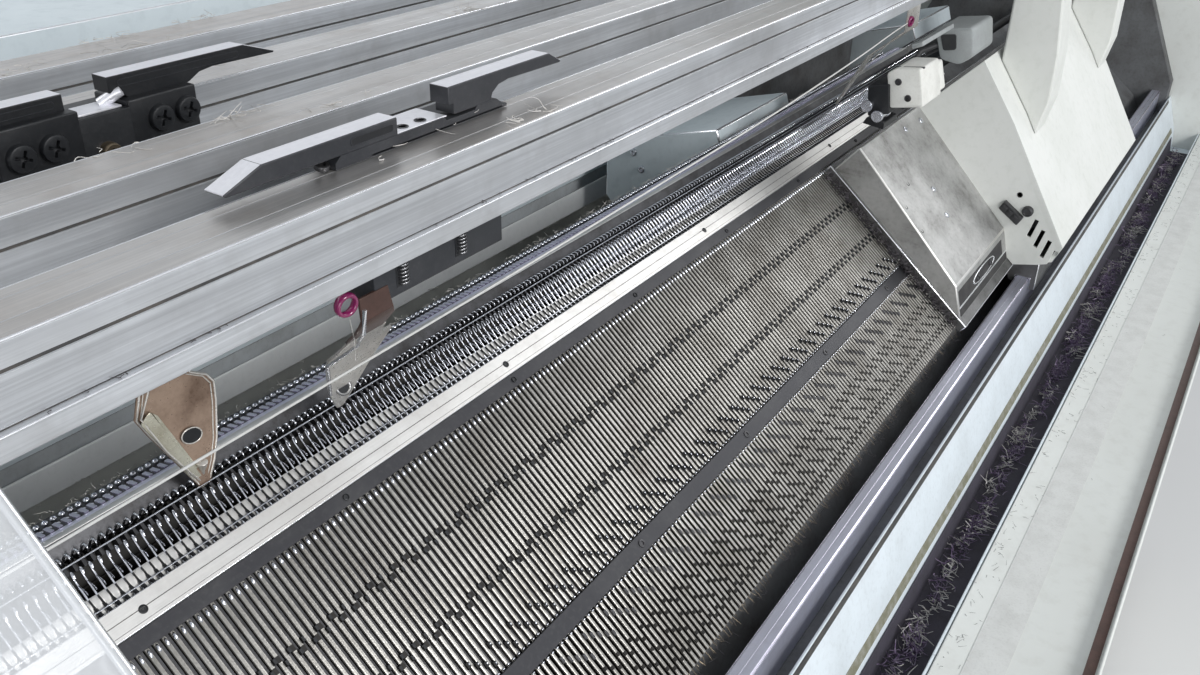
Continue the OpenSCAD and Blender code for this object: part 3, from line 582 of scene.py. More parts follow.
def build_looks():
    """Makes the shared node groups and every finish of the machine."""
    GROUPS["mottled"] = worn_group()
    GROUPS["brushed"] = brushed_group()
    s = bpy.context.scene.knit_colours
    finish("Cabinet paint", s.cabinet, (0.5, 0.5, 0.46), 9, 0.25, (0.42, 0.6), bump=0.08)
    finish("Cover paint", s.cover, (0.5, 0.52, 0.47), 12, 0.35, (0.35, 0.55), bump=0.08)
    finish("Blue paint", s.rear_cover, (0.36, 0.42, 0.45), 10, 0.3, (0.3, 0.5), bump=0.08)
    finish("Ledge paint", (0.62, 0.63, 0.61), (0.36, 0.36, 0.34), 60, 0.35, (0.4, 0.65))
    finish("White paint", (0.86, 0.88, 0.88), (0.66, 0.68, 0.68), 20, 0.22, (0.35, 0.55), bump=0.06)
    finish("Trough paint", (0.66, 0.72, 0.76), (0.42, 0.45, 0.46), 30, 0.3, (0.35, 0.55))
    # Trough dark paints the shade in the trough together with its lint.
    finish("Trough shade and lint", (0.05, 0.045, 0.062), (0.02, 0.018, 0.02), 60, 0.5, (0.7, 0.9), bump=0.4)
    finish("Olive strip", (0.17, 0.165, 0.11), (0.42, 0.42, 0.4), 160, 0.5, (0.5, 0.8), bump=0.4)
    finish("Cast iron", (0.14, 0.145, 0.15), (0.05, 0.045, 0.04), 25, 0.6, (0.5, 0.75), 0.3, 0.35)
    finish("Bed steel", s.bed, (0.13, 0.11, 0.085), 38, 0.7, (0.22, 0.45), 0.85, 0.25,
           brushed=0.3, along_axis="S")
    # Slot is near-black: it paints the shade in the bed's slots, on the bed plate, the lower sides
    # of the ridges and the notches.
    finish("Slot shade", (0.012, 0.011, 0.01), (0.03, 0.026, 0.02), 60, 0.6, (0.4, 0.7), 0.4)
    finish("Needle steel", (0.62, 0.63, 0.66), (0.12, 0.1, 0.09), 160, 0.45, (0.12, 0.35), 1.0)
    finish("Bright steel", (0.75, 0.77, 0.82), (0.3, 0.28, 0.3), 200, 0.4, (0.1, 0.28), 1.0)
    finish("Dark steel", (0.09, 0.09, 0.095), (0.03, 0.027, 0.025), 120, 0.6, (0.3, 0.55), 0.85)
    finish("Oiled steel", (0.2, 0.16, 0.11), (0.05, 0.04, 0.03), 160, 0.6, (0.2, 0.45), 0.85)
    finish("Cap steel", (0.76, 0.75, 0.73), (0.4, 0.37, 0.34), 22, 0.45, (0.24, 0.42), 0.9, 0.1,
           brushed=0.18)
    finish("Black bar", (0.035, 0.035, 0.04), (0.09, 0.09, 0.09), 40, 0.3, (0.35, 0.55), 0.4, 0.1)
    finish("Rail top", s.rail, (0.42, 0.36, 0.31), 6, 0.7, (0.2, 0.38), 0.85, 0.12, brushed=0.45)
    finish("Rail side", (0.7, 0.72, 0.75), (0.26, 0.25, 0.24), 7, 0.75, (0.2, 0.4), 0.65, 0.12,
           brushed=0.45)
    # Rail edge is bright steel that paints highlights on the bevels of several parts, along the
    # rails' edges and on the cam box lips; feeder 2's bent bar is also made of it.
    finish("Rail edge", (0.86, 0.87, 0.9), (0.6, 0.6, 0.6), 30, 0.4, (0.18, 0.3), 0.9, 0.05)
    # Groove is near-black: it paints the shade in the grooves of the rails and of the cap plate,
    # and makes the thin dark line on the trough.
    finish("Groove", (0.05, 0.05, 0.05), (0.16, 0.14, 0.12), 60, 0.5, (0.5, 0.7), 0.3)
    finish("Guide steel", (0.66, 0.67, 0.78), (0.34, 0.33, 0.38), 20, 0.4, (0.2, 0.36), 0.7, 0.1,
           brushed=0.2)
    # Guide bevel paints the highlight on the guide rails' bevels and edge lines; the sinker bank's
    # pale teeth are also made of it.
    finish("Guide bevel", (0.8, 0.78, 0.9), (0.5, 0.48, 0.6), 30, 0.4, (0.15, 0.3), 0.9)
    finish("Cam box metal", (0.5, 0.5, 0.49), (0.13, 0.125, 0.115), 30, 0.9, (0.34, 0.58), 0.75,
           0.2, brushed=0.15, along_axis="Y")
    finish("Cam plate metal", (0.16, 0.16, 0.16), (0.05, 0.05, 0.045), 40, 0.7, (0.35, 0.6), 0.8)
    finish("Black oxide", (0.009, 0.01, 0.012), (0.035, 0.035, 0.037), 70, 0.35, (0.34, 0.55),
           0.2, 0.12)
    finish("Grey oxide", (0.028, 0.03, 0.035), (0.085, 0.085, 0.09), 60, 0.35, (0.38, 0.55),
           0.35, 0.12)
    finish("Ground top", (0.93, 0.93, 0.97), (0.6, 0.6, 0.65), 40, 0.35, (0.2, 0.36), 0.45, 0.08,
           brushed=0.15)
    finish("Nose bronze", (0.4, 0.29, 0.22), (0.13, 0.08, 0.055), 42, 0.85, (0.2, 0.42), 0.7, 0.2)
    finish("Nose silver", (0.74, 0.72, 0.68), (0.34, 0.3, 0.25), 60, 0.55, (0.2, 0.4), 0.6, 0.15)
    finish("Nose pale", (0.62, 0.6, 0.5), (0.3, 0.26, 0.18), 70, 0.6, (0.2, 0.4), 0.8, 0.15)
    finish("Nose grey", (0.26, 0.26, 0.26), (0.1, 0.095, 0.09), 60, 0.5, (0.25, 0.42), 0.9, 0.15)
    finish("Brown plate", (0.1, 0.055, 0.045), (0.04, 0.025, 0.02), 80, 0.6, (0.3, 0.5), 0.5, 0.2)
    finish("Ring ceramic", (0.2, 0.012, 0.085), (0.1, 0.005, 0.05), 90, 0.4, (0.1, 0.2), bump=0.02,
           coat=0.6)
    finish("Roller rubber", (0.06, 0.06, 0.065), (0.12, 0.12, 0.12), 60, 0.4, (0.6, 0.8), bump=0.4)
    finish("Belt rubber", (0.52, 0.55, 0.57), (0.3, 0.31, 0.31), 40, 0.5, (0.55, 0.75), bump=0.3)
    finish("Turned aluminium", (0.6, 0.61, 0.63), (0.35, 0.35, 0.36), 50, 0.4, (0.25, 0.4), 0.95)
    finish("Foot rubber", (0.06, 0.06, 0.06), (0.14, 0.13, 0.12), 40, 0.5, (0.6, 0.85), bump=0.3)
    finish("Lint", (0.62, 0.6, 0.56), (0.4, 0.38, 0.4), 300, 0.5, (0.8, 0.95), bump=0.6)
    finish("Dark lint", (0.045, 0.04, 0.042), (0.12, 0.11, 0.13), 250, 0.5, (0.8, 0.95), bump=0.6)
    # Soot is near-black: it paints the shade in the hollows at the feet of the front cam boxes.
    finish("Hollow shade", (0.02, 0.019, 0.02), (0.1, 0.095, 0.09), 90, 0.3, (0.6, 0.9), bump=0.5)
    finish("Violet lint", (0.13, 0.08, 0.17), (0.5, 0.47, 0.52), 220, 0.6, (0.8, 0.95), bump=0.6)
    finish("Yarn", (0.62, 0.62, 0.6), (0.45, 0.45, 0.44), 400, 0.5, (0.6, 0.8), bump=0.3)
    finish("Spring steel", (0.3, 0.3, 0.31), (0.08, 0.08, 0.08), 100, 0.4, (0.2, 0.35), 0.95)
    finish("Black plastic", (0.02, 0.02, 0.022), (0.05, 0.05, 0.05), 80, 0.4, (0.4, 0.6), bump=0.15)
    finish("Grey plastic", (0.3, 0.32, 0.32), (0.2, 0.2, 0.2), 80, 0.4, (0.4, 0.6), bump=0.1)
    finish("White block", (0.72, 0.72, 0.68), (0.45, 0.44, 0.4), 40, 0.35, (0.4, 0.6), bump=0.1)
    shield_look()


def shield_look():
    """Clear plastic with a haze of fine scratches and dust that raises its roughness in patches."""
    m = finish("Shield", (0.86, 0.88, 0.9), (0.62, 0.64, 0.66), 12, 0.6, (0.08, 0.4), bump=0.0)
    t = m.node_tree
    shader = next(n for n in t.nodes if n.type == "BSDF_PRINCIPLED")
    shader.inputs["IOR"].default_value = 1.49
    where = t.nodes.new("ShaderNodeTexCoord").outputs["Object"]
    haze = noise(t, where, 7.0, 4.0, 0.6)
    fine = noise(t, where, 400.0, 2.0, 0.6)
    alpha = maths(t, "ADD", maths(t, "MULTIPLY", band(t, haze, 0.3, 0.7), 0.22), 0.2)
    alpha = maths(t, "ADD", alpha, maths(t, "MULTIPLY", band(t, fine, 0.62, 0.75), 0.2), True)
    t.links.new(alpha, shader.inputs["Alpha"])


# Settings.
class KnitColours(PropertyGroup):
    """Colours of the painted and bare parts."""

    cabinet: FloatVectorProperty(name="Cabinets", subtype="COLOR", default=(0.7, 0.72, 0.69),
                                 description="Paint of the pedestals and end covers")
    cover: FloatVectorProperty(name="Carriage cover", subtype="COLOR", default=(0.69, 0.7, 0.67),
                               description="Paint of the carriage cover and its arches")
    rear_cover: FloatVectorProperty(name="Rear cover", subtype="COLOR",
                                    default=(0.62, 0.69, 0.72),
                                    description="Paint of the cover behind the rear bed")
    bed: FloatVectorProperty(name="Needle beds", subtype="COLOR", default=(0.5, 0.485, 0.452),
                             description="Ground steel of the slot ridges")
    rail: FloatVectorProperty(name="Feeder rails", subtype="COLOR", default=(0.78, 0.77, 0.76),
                              description="Drawn aluminium of the feeder rails")


class KnitSizes(PropertyGroup):
    """Sizes of the detail that scene pieces add to the CAD model."""

    edge: FloatProperty(name="Edge rounding", default=0.0008, subtype="DISTANCE", unit="LENGTH",
                        min=0.0001, max=0.003,
                        description="A third of the rounding of cabinet edges")
    hook_wire: FloatProperty(name="Hook wire", default=0.00042, subtype="DISTANCE",
                             unit="LENGTH", description="Half thickness of a needle hook")
    yarn: FloatProperty(name="Yarn", default=0.0011, subtype="DISTANCE", unit="LENGTH",
                        description="Diameter of the taut yarn")
    lint_tufts: IntProperty(name="Lint tufts", default=150, min=0, max=600,
                            description="Wads of violet lint in the trough")


# Stage.
class KNIT_OT_stage(Operator):
    """Builds the pale floor, the soft lamps, the world and the camera at the photograph's angle"""

    bl_idname = "knit.stage"
    bl_label = "Stage"

    def execute(self, context):
        scene = context.scene
        scene.view_settings.view_transform = "Standard"
        u = np.linspace(-12, 12, 13)
        verts = points(u[:, None], u[None], 0.0).reshape(-1, 3)
        mesh = bpy.data.meshes.new("floor")
        mesh.from_pydata(verts.tolist(), [], grid_faces(len(u), len(u)).tolist())
        floor = bpy.data.objects.new("floor", mesh)
        scene.collection.objects.link(floor)
        mesh.materials.append(self.floor_look())
        if mesh.polygons[0].normal.z < 0:
            mesh.flip_normals()
        self.world(scene)
        for lamp in LAMPS:
            self.lamp(*lamp)
        self.camera(scene)
        return {"FINISHED"}

    def floor_look(self):
        """Matt pale floor with a faint mottling."""
        m = bpy.data.materials.new("Floor")
        m.use_nodes = True
        t = m.node_tree
        shader = next(n for n in t.nodes if n.type == "BSDF_PRINCIPLED")
        where = t.nodes.new("ShaderNodeTexCoord").outputs["Object"]
        shade = mix_colour(t, noise(t, where, 1.5, 4.0), (0.62, 0.62, 0.61), (0.68, 0.68, 0.67))
        t.links.new(shade, shader.inputs["Base Color"])
        shader.inputs["Roughness"].default_value = 0.8
        return m

    def world(self, scene):
        """A plain pale world, almost twice as bright to camera, glossy and transmission rays."""
        w = scene.world or bpy.data.worlds.new("World")
        scene.world = w
        w.use_nodes = True
        t = w.node_tree
        t.nodes.clear()
        out = t.nodes.new("ShaderNodeOutputWorld")
        lit, seen = t.nodes.new("ShaderNodeBackground"), t.nodes.new("ShaderNodeBackground")
        lit.inputs["Color"].default_value = (0.82, 0.87, 0.95, 1)
        lit.inputs["Strength"].default_value = 0.45
        seen.inputs["Color"].default_value = (0.8, 0.83, 0.87, 1)
        seen.inputs["Strength"].default_value = 0.85
        path = t.nodes.new("ShaderNodeLightPath")
        eye = maths(t, "MAXIMUM", path.outputs["Is Camera Ray"], path.outputs["Is Glossy Ray"])
        eye = maths(t, "MAXIMUM", eye, path.outputs["Is Transmission Ray"])
        blend = t.nodes.new("ShaderNodeMixShader")
        t.links.new(eye, blend.inputs[0])
        t.links.new(lit.outputs[0], blend.inputs[1])
        t.links.new(seen.outputs[0], blend.inputs[2])
        t.links.new(blend.outputs[0], out.inputs["Surface"])

    def lamp(self, name, place, target, size, power):
        """A square area lamp at a place in metres, turned to its target."""
        data = bpy.data.lights.new(name, "AREA")
        data.energy, data.size = power, size
        obj = bpy.data.objects.new(name, data)
        bpy.context.scene.collection.objects.link(obj)
        obj.location = place
        way = Vector(target) - Vector(place)
        obj.rotation_euler = way.to_track_quat("-Z", "Y").to_euler()

    def camera(self, scene):
        """Camera at the photograph's place: turned by yaw, tipped down by pitch, then rolled."""
        data = bpy.data.cameras.new("camera")
        data.sensor_width, data.lens = 36, VIEW_LENS
        data.shift_y = VIEW_SHIFT
        data.clip_start, data.clip_end = 0.01, 50
        yaw, pitch, roll = (math.radians(a) for a in VIEW_TURN)
        sy, cy, sp, cp = math.sin(yaw), math.cos(yaw), math.sin(pitch), math.cos(pitch)
        ahead = Vector((sy * cp, cy * cp, -sp))
        right = Vector((cy, -sy, 0))
        down = ahead.cross(right)
        side = right * math.cos(roll) + down * math.sin(roll)
        low = down * math.cos(roll) - right * math.sin(roll)
        cam = bpy.data.objects.new("camera", data)
        scene.collection.objects.link(cam)
        turn = Matrix((side, -low, -ahead)).transposed().to_4x4()
        cam.matrix_world = Matrix.Translation(VIEW_PLACE) @ turn
        scene.camera = cam


class KNIT_OT_cabinets(Operator):
    """Dresses the pedestals, end covers, skirts, rear cover and belt shelf"""

    bl_idname = "knit.cabinets"
    bl_label = "Cabinets and covers"

    def execute(self, context):
        edge = context.scene.knit_sizes.edge / MM
        dress_rows((
            ("left_pedestal right_pedestal left_end_cover right_end_cover", "Cabinet paint",
             3 * edge, "cabinet_paint", None),), steps=3)
        dress_rows((
            ("front_skirt rear_skirt", "Cabinet paint", 0.5, "cabinet_paint", None),
            # The rear cover's bevels in Rail edge paint a highlight along its edges.
            ("rear_cover", "Blue paint", 0.8, "blue_paint", "Rail edge"),
            ("belt_shelf", "White paint", 0.6, "cabinet_paint", None),
            ("levelling_feet", "Foot rubber", 1.2, "foot_rubber", None)))
        return {"FINISHED"}


class KNIT_OT_structure(Operator):
    """Dresses the cast beams, rail brackets, guide rails and take-down rollers"""

    bl_idname = "knit.structure"
    bl_label = "Beams, brackets and rollers"

    def execute(self, context):
        dress_rows((
            ("front_bed_beam rear_bed_beam left_rail_bracket right_rail_bracket", "Cast iron", 1.5,
             "casting", None),
            # The guide rails' bevels in Guide bevel paint a highlight along their edges.
            ("front_guide_rail rear_guide_rail", "Guide steel", 0.5, "guide_steel",
             "Guide bevel")))
        for end in ("front", "rear"):
            dressed("takedown_roller_" + end, "Roller rubber", 0.8, "roller_rubber",
                    body="roller_" + end)
        return {"FINISHED"}


# Needle beds.
def bed_outline(corners, side=-1):
    """Outline in y and z of corners given as s and h on a bed."""
    s, h = np.asarray(corners, float).T
    return bed_point(0.0, s, h, side)[:, 1:]


def ridge_shape(side=-1):
    """Crown of a ridge: its rounded section (x, h) carried down s, lower at its upper end."""
    x = np.array([-0.5, -0.5, -0.42, -0.25, 0.25, 0.42, 0.5, 0.5]) * RIDGE_W
    h = np.array([-0.9, -0.45, -0.12, 0, 0, -0.12, -0.45, -0.9])
    s = np.array([BED_TOP, BED_TOP + 0.4, BED_TOP + 1.6, BED_END - 0.6, BED_END])
    drop = np.array([1.6, 0.5, 0.0, 0.0, 0.35])
    sections = bed_point(x[None], s[:, None], h[None] - drop[:, None], side)
    return loft(sections)


def bead(s, h, rx, rs, rh, side=-1, n=8, m=4):
    """Half dome on a bed: x = rx cos u sin v, s = s0 + rs sin u sin v, h = h0 + rh cos v."""
    u = np.linspace(0, 2 * np.pi, n, endpoint=False)[None, :]
    v = np.linspace(0.08, np.pi / 2 + 0.35, m)[:, None]
    return loft(bed_point(rx * np.cos(u) * np.sin(v), s + rs * np.sin(u) * np.sin(v),
                          h + rh * np.cos(v), side))


def slab_on_bed(x, w, s0, s1, h0, h1, side=-1, taper=1.0, skew=0.0):
    """Small block on a bed, its top narrowed by a taper and moved down the slope by a skew."""
    k = np.array([[-1, 0], [1, 0], [1, 1], [-1, 1]], float)
    sections = []
    for h, t, d in ((h0, 1.0, 0.0), (h1, taper, skew)):
        middle, half = (s0 + s1) / 2 + d, (s1 - s0) / 2 * t
        wide = x + k[:, 0] * w / 2 * t
        sections.append(bed_point(wide, middle + (k[:, 1] * 2 - 1) * half, h, side))
    return loft(sections)


def strip_on_bed(x0, x1, s0, s1, h0, h1, side=-1):
    """Thin bar along a bed with rounded long edges."""
    o = rounded(bed_outline([(s0, h0), (s1, h0), (s1, h1), (s0, h1)], side), 0.15, 2)
    return prism(0, x0, x1, o)


class KNIT_OT_needle_beds(Operator):
    """Builds both slotted needle beds with their ridges, bars and cap plate"""

    bl_idname = "knit.needle_beds"
    bl_label = "Needle beds"

    def execute(self, context):
        for side, body, name in ((-1, "frame", "front"), (1, "rear_bed", "rear")):
            plate = [(22.64, -22), (BED_END, -22), (BED_END, SLOT_FLOOR), (BED_TOP, SLOT_FLOOR),
                     (BED_TOP, -12.3), (14.5, -12.3)]
            # The bed plate is near-black, painting the shade in the slots.
            add_piece(name + "_bed_plate", prism(0, -END_X, END_X, bed_outline(plate, side)),
                      "Slot shade", body, (name + "_needle_bed",), edge=0.4)
            add_piece(name + "_bed_ridges", tile(ridge_shape(side), along(RIDGE_X)),
                      "Bed steel", body)
            # The lower sides of the ridges are near-black as painted shade; only their crowns are
            # bright steel.
            core = slab_on_bed(0, RIDGE_W * 0.97, BED_TOP, BED_END, SLOT_FLOOR, -0.6, side)
            add_piece(name + "_ridge_cores", tile(core, along(RIDGE_X)), "Slot shade", body)
            end = bead(46, -0.25, 0.78, 2.1, 0.75, side)
            add_piece(name + "_ridge_ends", tile(end, along(RIDGE_X)), "Bright steel", body,
                      smooth=60)
        dress_rows((
            # The cap plate's bevels in Rail edge paint a highlight along its edges.
            ("front_cap_plate", "Cap steel", 0.35, "cap_steel", "Rail edge"),
            ("front_upper_bar", "Black bar", 0.2, "black_bar", None),
            ("front_lower_bar", "Black bar", 0.25, "black_bar", None)))
        self.bars()
        self.rows()
        return {"FINISHED"}

    def bars(self):
        """Grooves and screws of the cap plate, and screws of the two black bars."""
        # Dark lines on the cap plate paint the shade of its two grooves.
        groove_shade = [strip_on_bed(-END_X, END_X, 30.4, 30.75, 2.96, 3.03),
                  strip_on_bed(-END_X, END_X, 34.9, 35.1, 2.96, 3.02)]
        add_piece("cap_groove_shade", groove_shade, "Groove")
        up = (0, -SN, CS)
        cap_head = [(1.8, 0), (1.8, 0.3), (1.4, 0.36), (1.3, 0.12), (0.1, 0.1)]
        bar_head = [(1.5, 0), (1.5, 0.5), (1.2, 0.6), (1.15, 0.2), (0.1, 0.15)]
        caps = [spindle(bed_point(x, 31.2, 2.9), up, cap_head, 20)
                for x in (-440.2, -223.4, -6.6, 210.2, 427.0)]
        bars = [spindle(bed_point(x, 40.2, 1.75), up, bar_head, 16)
                for x in np.arange(-464.4, 500, 119.9)]
        lows = [screw(bed_point(x, 147.5, 1.5), up, 2.2, 0.8, "hex")
                for x in np.arange(-465.7, 500, 120.0)]
        add_piece("cap_plate_screws", caps, "Black oxide", smooth=30)
        add_piece("upper_bar_screws", bars, "Black oxide", smooth=30)
        add_piece("lower_bar_screws", lows, "Dark steel", smooth=30)

    def rows(self):
        """Butts, selector butts with bright tips that paint a glint, notches drawn as dark patches
        that paint their shade, jacks and bright beads in rows across the front bed.
        """
        i = np.arange(NEEDLES)
        rng = np.random.default_rng(7)
        for k, s0 in enumerate((78.5, 110.0)):
            butt = slab_on_bed(0, 1.5, -1.3, 1.3, -0.6, 0.85, taper=0.8)
            place = self.down(NEEDLE_X, s0 + np.where(i % 2 == 0, -1.7, 1.7))
            add_piece("butt_row_%d" % (k + 1), tile(butt, place), "Black oxide")
            # Notches are dark patches on the ridges that paint the shade in them.
            notch = slab_on_bed(0, RIDGE_W * 1.02, -1.4, 1.4, -0.3, 0.05)
            j = np.arange(NEEDLES + 1)
            keep = (j % 3 != 1)
            place = self.down(RIDGE_X[keep], s0 + np.where(j[keep] % 2 == 0, 1.5, -1.5))
            add_piece("ridge_notches_%d" % (k + 1), tile(notch, place), "Slot shade")
        step = (i % 4) * 2.6
        tall = slab_on_bed(0, 1.35, -1.6, 1.6, -1.0, 1.9, taper=0.7, skew=-0.5)
        add_piece("selector_butts", tile(tall, self.down(NEEDLE_X, 130.5 + step)),
                  "Black oxide")
        # A bright dome on each selector butt paints a glint on its tip.
        shine = bead(-0.6, 1.75, 0.5, 0.7, 0.45)
        add_piece("selector_tip_glints", tile(shine, self.down(NEEDLE_X, 130.5 + step)),
                  "Bright steel", smooth=60)
        beads = [tile(bead(s, 0.35, 0.95, 0.7, 0.8), along(RIDGE_X)) for s in (142.2, 152.9)]
        add_piece("lower_bar_beads", beads, "Bright steel", smooth=60)
        low = slab_on_bed(0, 1.6, -2.0, 2.0, -0.8, 0.9, taper=0.75)
        add_piece("jack_butts", tile(low, self.down(NEEDLE_X, 158.5 + (i % 5) * 2.3)),
                  "Dark steel")
        # More notches, as dark patches that paint their shade.
        dots = slab_on_bed(0, RIDGE_W * 1.03, -1.0, 1.0, -0.3, 0.06)
        places = [self.down(RIDGE_X, s + (np.arange(NEEDLES + 1) % p) * q)
                  for s, p, q in ((176.0, 3, 2.4), (187.0, 4, 2.2), (199.0, 2, 2.6))]
        add_piece("ridge_notches_3", tile(dots, np.vstack(places)), "Slot shade")
        self.bristles(rng)

    def down(self, xs, s):
        """Offsets that move a shape made at s = 0 to places x and s on the front bed."""
        s = np.asarray(s, float)
        return points(xs, -s * CS, -s * SN)

    def bristles(self, rng):
        """Needle tails past the end of the bed: a thin square wire each, leaning a little."""
        n = NEEDLES * 2
        x = np.repeat(NEEDLE_X, 2) + rng.uniform(-0.5, 0.5, n)
        t = np.linspace(0, 1, 3)
        length = rng.uniform(2.5, 8.0, n)
        lean = rng.normal(0, 0.9, n)
        lift = rng.uniform(-2.0, 1.5, n)
        s = 207.5 + t[None] * length[:, None]
        path = bed_point(x[:, None] + t[None] ** 2 * lean[:, None], s,
                         -1.8 + t[None] * lift[:, None])
        r = 0.22 * (1 - 0.5 * t)[None, :, None, None]
        corner = np.array([[1, 0, 0], [0, 0.6, 0.8], [-1, 0, 0], [0, -0.6, -0.8]])
        verts = (path[:, :, None] + r * corner[None, None]).reshape(-1, 3)
        faces = repeated(capped_faces(len(t), len(corner)), len(t) * len(corner), n)
        add_piece("needle_tails", (verts, faces), "Oiled steel")


# Needles.
def wire_on_bed(path, r, side=-1, n=5, flat=1.0):
    """Bent wire in the plane of one needle, its path given as s and h."""
    s, h = np.asarray(path, float).T
    return tube(bed_point(0.0, s, h, side), r, n, up=(1, 0, 0), flat=flat)


class KNIT_OT_needles(Operator):
    """Builds the latch needles, sinkers and stitch combs on both sides of the gap"""

    bl_idname = "knit.needles"
    bl_label = "Needles and sinkers"

    def execute(self, context):
        wire = context.scene.knit_sizes.hook_wire / MM
        self.front(wire)
        self.rear(wire)
        return {"FINISHED"}

    def front(self, wire):
        """Front needles: stem, hook and open latch, then the stitch comb below them."""
        bright, dark = "Bright steel", "Dark steel"
        stem = slab_on_bed(0, 1.2, BED_TOP, 150, -4.6, -1.4)
        add_piece("front_needle_stems", tile(stem, along(NEEDLE_X)), dark,
                  replaces=("front_needles",))
        hook = wire_on_bed([(25.5, -2.6), (17, -2.1), (11, -1.5), (7.2, -1.1), (5.2, -0.5),
                            (4.7, 0.4), (5.3, 1.2), (6.6, 1.35), (7.8, 0.8)],
                           wire * np.array([1.3, 1.3, 1.2, 1, 1, 1, 1, 0.9, 0.5]))
        add_piece("front_hooks", tile(hook, along(NEEDLE_X)), bright,
                  smooth=60)
        latch = wire_on_bed([(10.2, -1.2), (11.4, -0.2), (13.0, 0.7), (14.6, 1.2), (15.4, 1.15)],
                            [0.3, 0.35, 0.5, 0.62, 0.25], n=6, flat=0.5)
        add_piece("front_latches", tile(latch, along(NEEDLE_X)), bright,
                  smooth=60)
        comb = prism(0, -END_X, END_X, bed_outline([(16.2, -4.9), (25.4, -4.9), (25.4, -3.2),
                                                    (19.4, -1.6), (16.2, -2.0)]))
        add_piece("front_comb_base", comb, "Cap steel", replaces=("front_sinkers",),
                  edge=0.2)
        tooth = loft(bed_point(
            np.array([-0.5, 0.5, 0.42, -0.42])[None] * RIDGE_W,
            np.array([25.3, 19.5, 17.0])[:, None],
            np.array([[-4, -4, -1.9, -1.9], [-3.6, -3.6, -1.6, -1.6], [-2.6, -2.6, -1.7, -1.7]])))
        add_piece("front_comb_teeth", tile(tooth, along(RIDGE_X)), "Cap steel")
        spear = loft(bed_point(
            np.array([-1, 1, 0.6, -0.6])[None] * np.array([0.16, 0.3, 0.8, 0.75, 0.1])[:, None],
            np.array([16.8, 20.5, 23.0, 25.6, 28.0])[:, None],
            np.array([-1.2, -0.8, 0.1, 1.1, 2.4])[:, None] + np.array([-0.5, -0.5, 0.5, 0.5])))
        add_piece("front_sinker_tails", tile(spear, along(NEEDLE_X)), "Black oxide")
        line = tube(bed_point(np.linspace(-END_X, END_X, 60), 22.6, 0.55), 0.28, 6)
        add_piece("front_comb_wire", line, bright, smooth=60)
        gap = tube(bed_point(np.linspace(-END_X, END_X, 60), 2.2, -0.4), 0.3, 6)
        add_piece("gap_wire", gap, bright, smooth=60)

    def rear(self, wire):
        """Rear needles, then the sinker bank: flat band, square teeth and two rows of knobs."""
        bright, body = "Bright steel", "rear_bed"
        stem = slab_on_bed(0, 1.2, BED_TOP, 150, -4.6, -1.4, side=1)
        add_piece("rear_needle_stems", tile(stem, along(NEEDLE_X)), "Dark steel", body,
                  ("rear_needles",))
        hook = wire_on_bed([(25, -3.0), (16, -2.2), (11.5, -0.9), (8.4, 1.0), (5.6, 2.1),
                            (3.2, 1.9), (1.9, 0.7), (2.4, -0.6), (3.6, -1.0)],
                           wire * np.array([1, 1.1, 1.2, 1.3, 1.3, 1.2, 1, 0.9, 0.5]), side=1)
        add_piece("rear_hooks", tile(hook, along(NEEDLE_X)), bright, body,
                  smooth=60)
        latch = wire_on_bed([(9.5, -0.6), (11.2, 0.9), (12.6, 2.0), (13.6, 2.3)],
                            [0.3, 0.4, 0.55, 0.22], side=1, n=6, flat=0.5)
        add_piece("rear_latches", tile(latch, along(NEEDLE_X)), "Needle steel", body,
                  smooth=60)
        tooth = slab_on_bed(0, 1.5, 7.0, 13.0, -5.4, -2.4, side=1, taper=0.8)
        add_piece("rear_sinker_teeth", tile(tooth, along(RIDGE_X)), "Dark steel", body,
                  ("rear_sinkers",))
        bank = prism(0, -END_X, END_X, np.array([
            bed_outline([(12, 0.3)], 1)[0], bed_outline([(57, 0.3)], 1)[0], (44.5, 988), (30, 990),
            (27, 996), (14, 999)]))
        add_piece("sinker_bank", bank, "Dark steel", body, ("rear_cap_plate",),
                  edge=0.3)
        band_line = prism(0, -END_X, END_X, rounded([(14.2, 998.5), (18.4, 997.6), (18.6, 998.4),
                                                     (14.4, 999.3)], 0.15, 2))
        add_piece("sinker_bank_band", band_line, "Cap steel", body)
        dark = prism(0, -END_X, END_X, rounded([(18.7, 997.4), (21.6, 996.8), (21.7, 997.6),
                                                (18.8, 998.2)], 0.15, 2))
        add_piece("sinker_bank_line", dark, "Guide steel", body)
        block = prism(0, -0.95, 0.95, [(22.0, 995.5), (27.2, 994.6), (27.2, 997.1), (22.0, 998.2)],
                      0.2)
        add_piece("sinker_bank_teeth", tile(block, along(RIDGE_X)), "Guide bevel", body)
        lean = (0, -0.25, 1)
        knob = spindle((0, 32.2, 989.6), lean, [(0.9, 0), (1.35, 1.0), (1.45, 2.0), (1.1, 2.8),
                                                (0.6, 2.9), (0.5, 1.9), (0.1, 1.8)], 9)
        more = spindle((0, 39.4, 988.5), lean, [(0.9, 0), (1.35, 0.9), (1.4, 1.8), (1.0, 2.5),
                                                (0.6, 2.6), (0.5, 1.7), (0.1, 1.6)], 9)
        rows = [tile(knob, along(RIDGE_X)), tile(more, along(NEEDLE_X))]
        add_piece("sinker_bank_knobs", rows, bright, body, smooth=50)


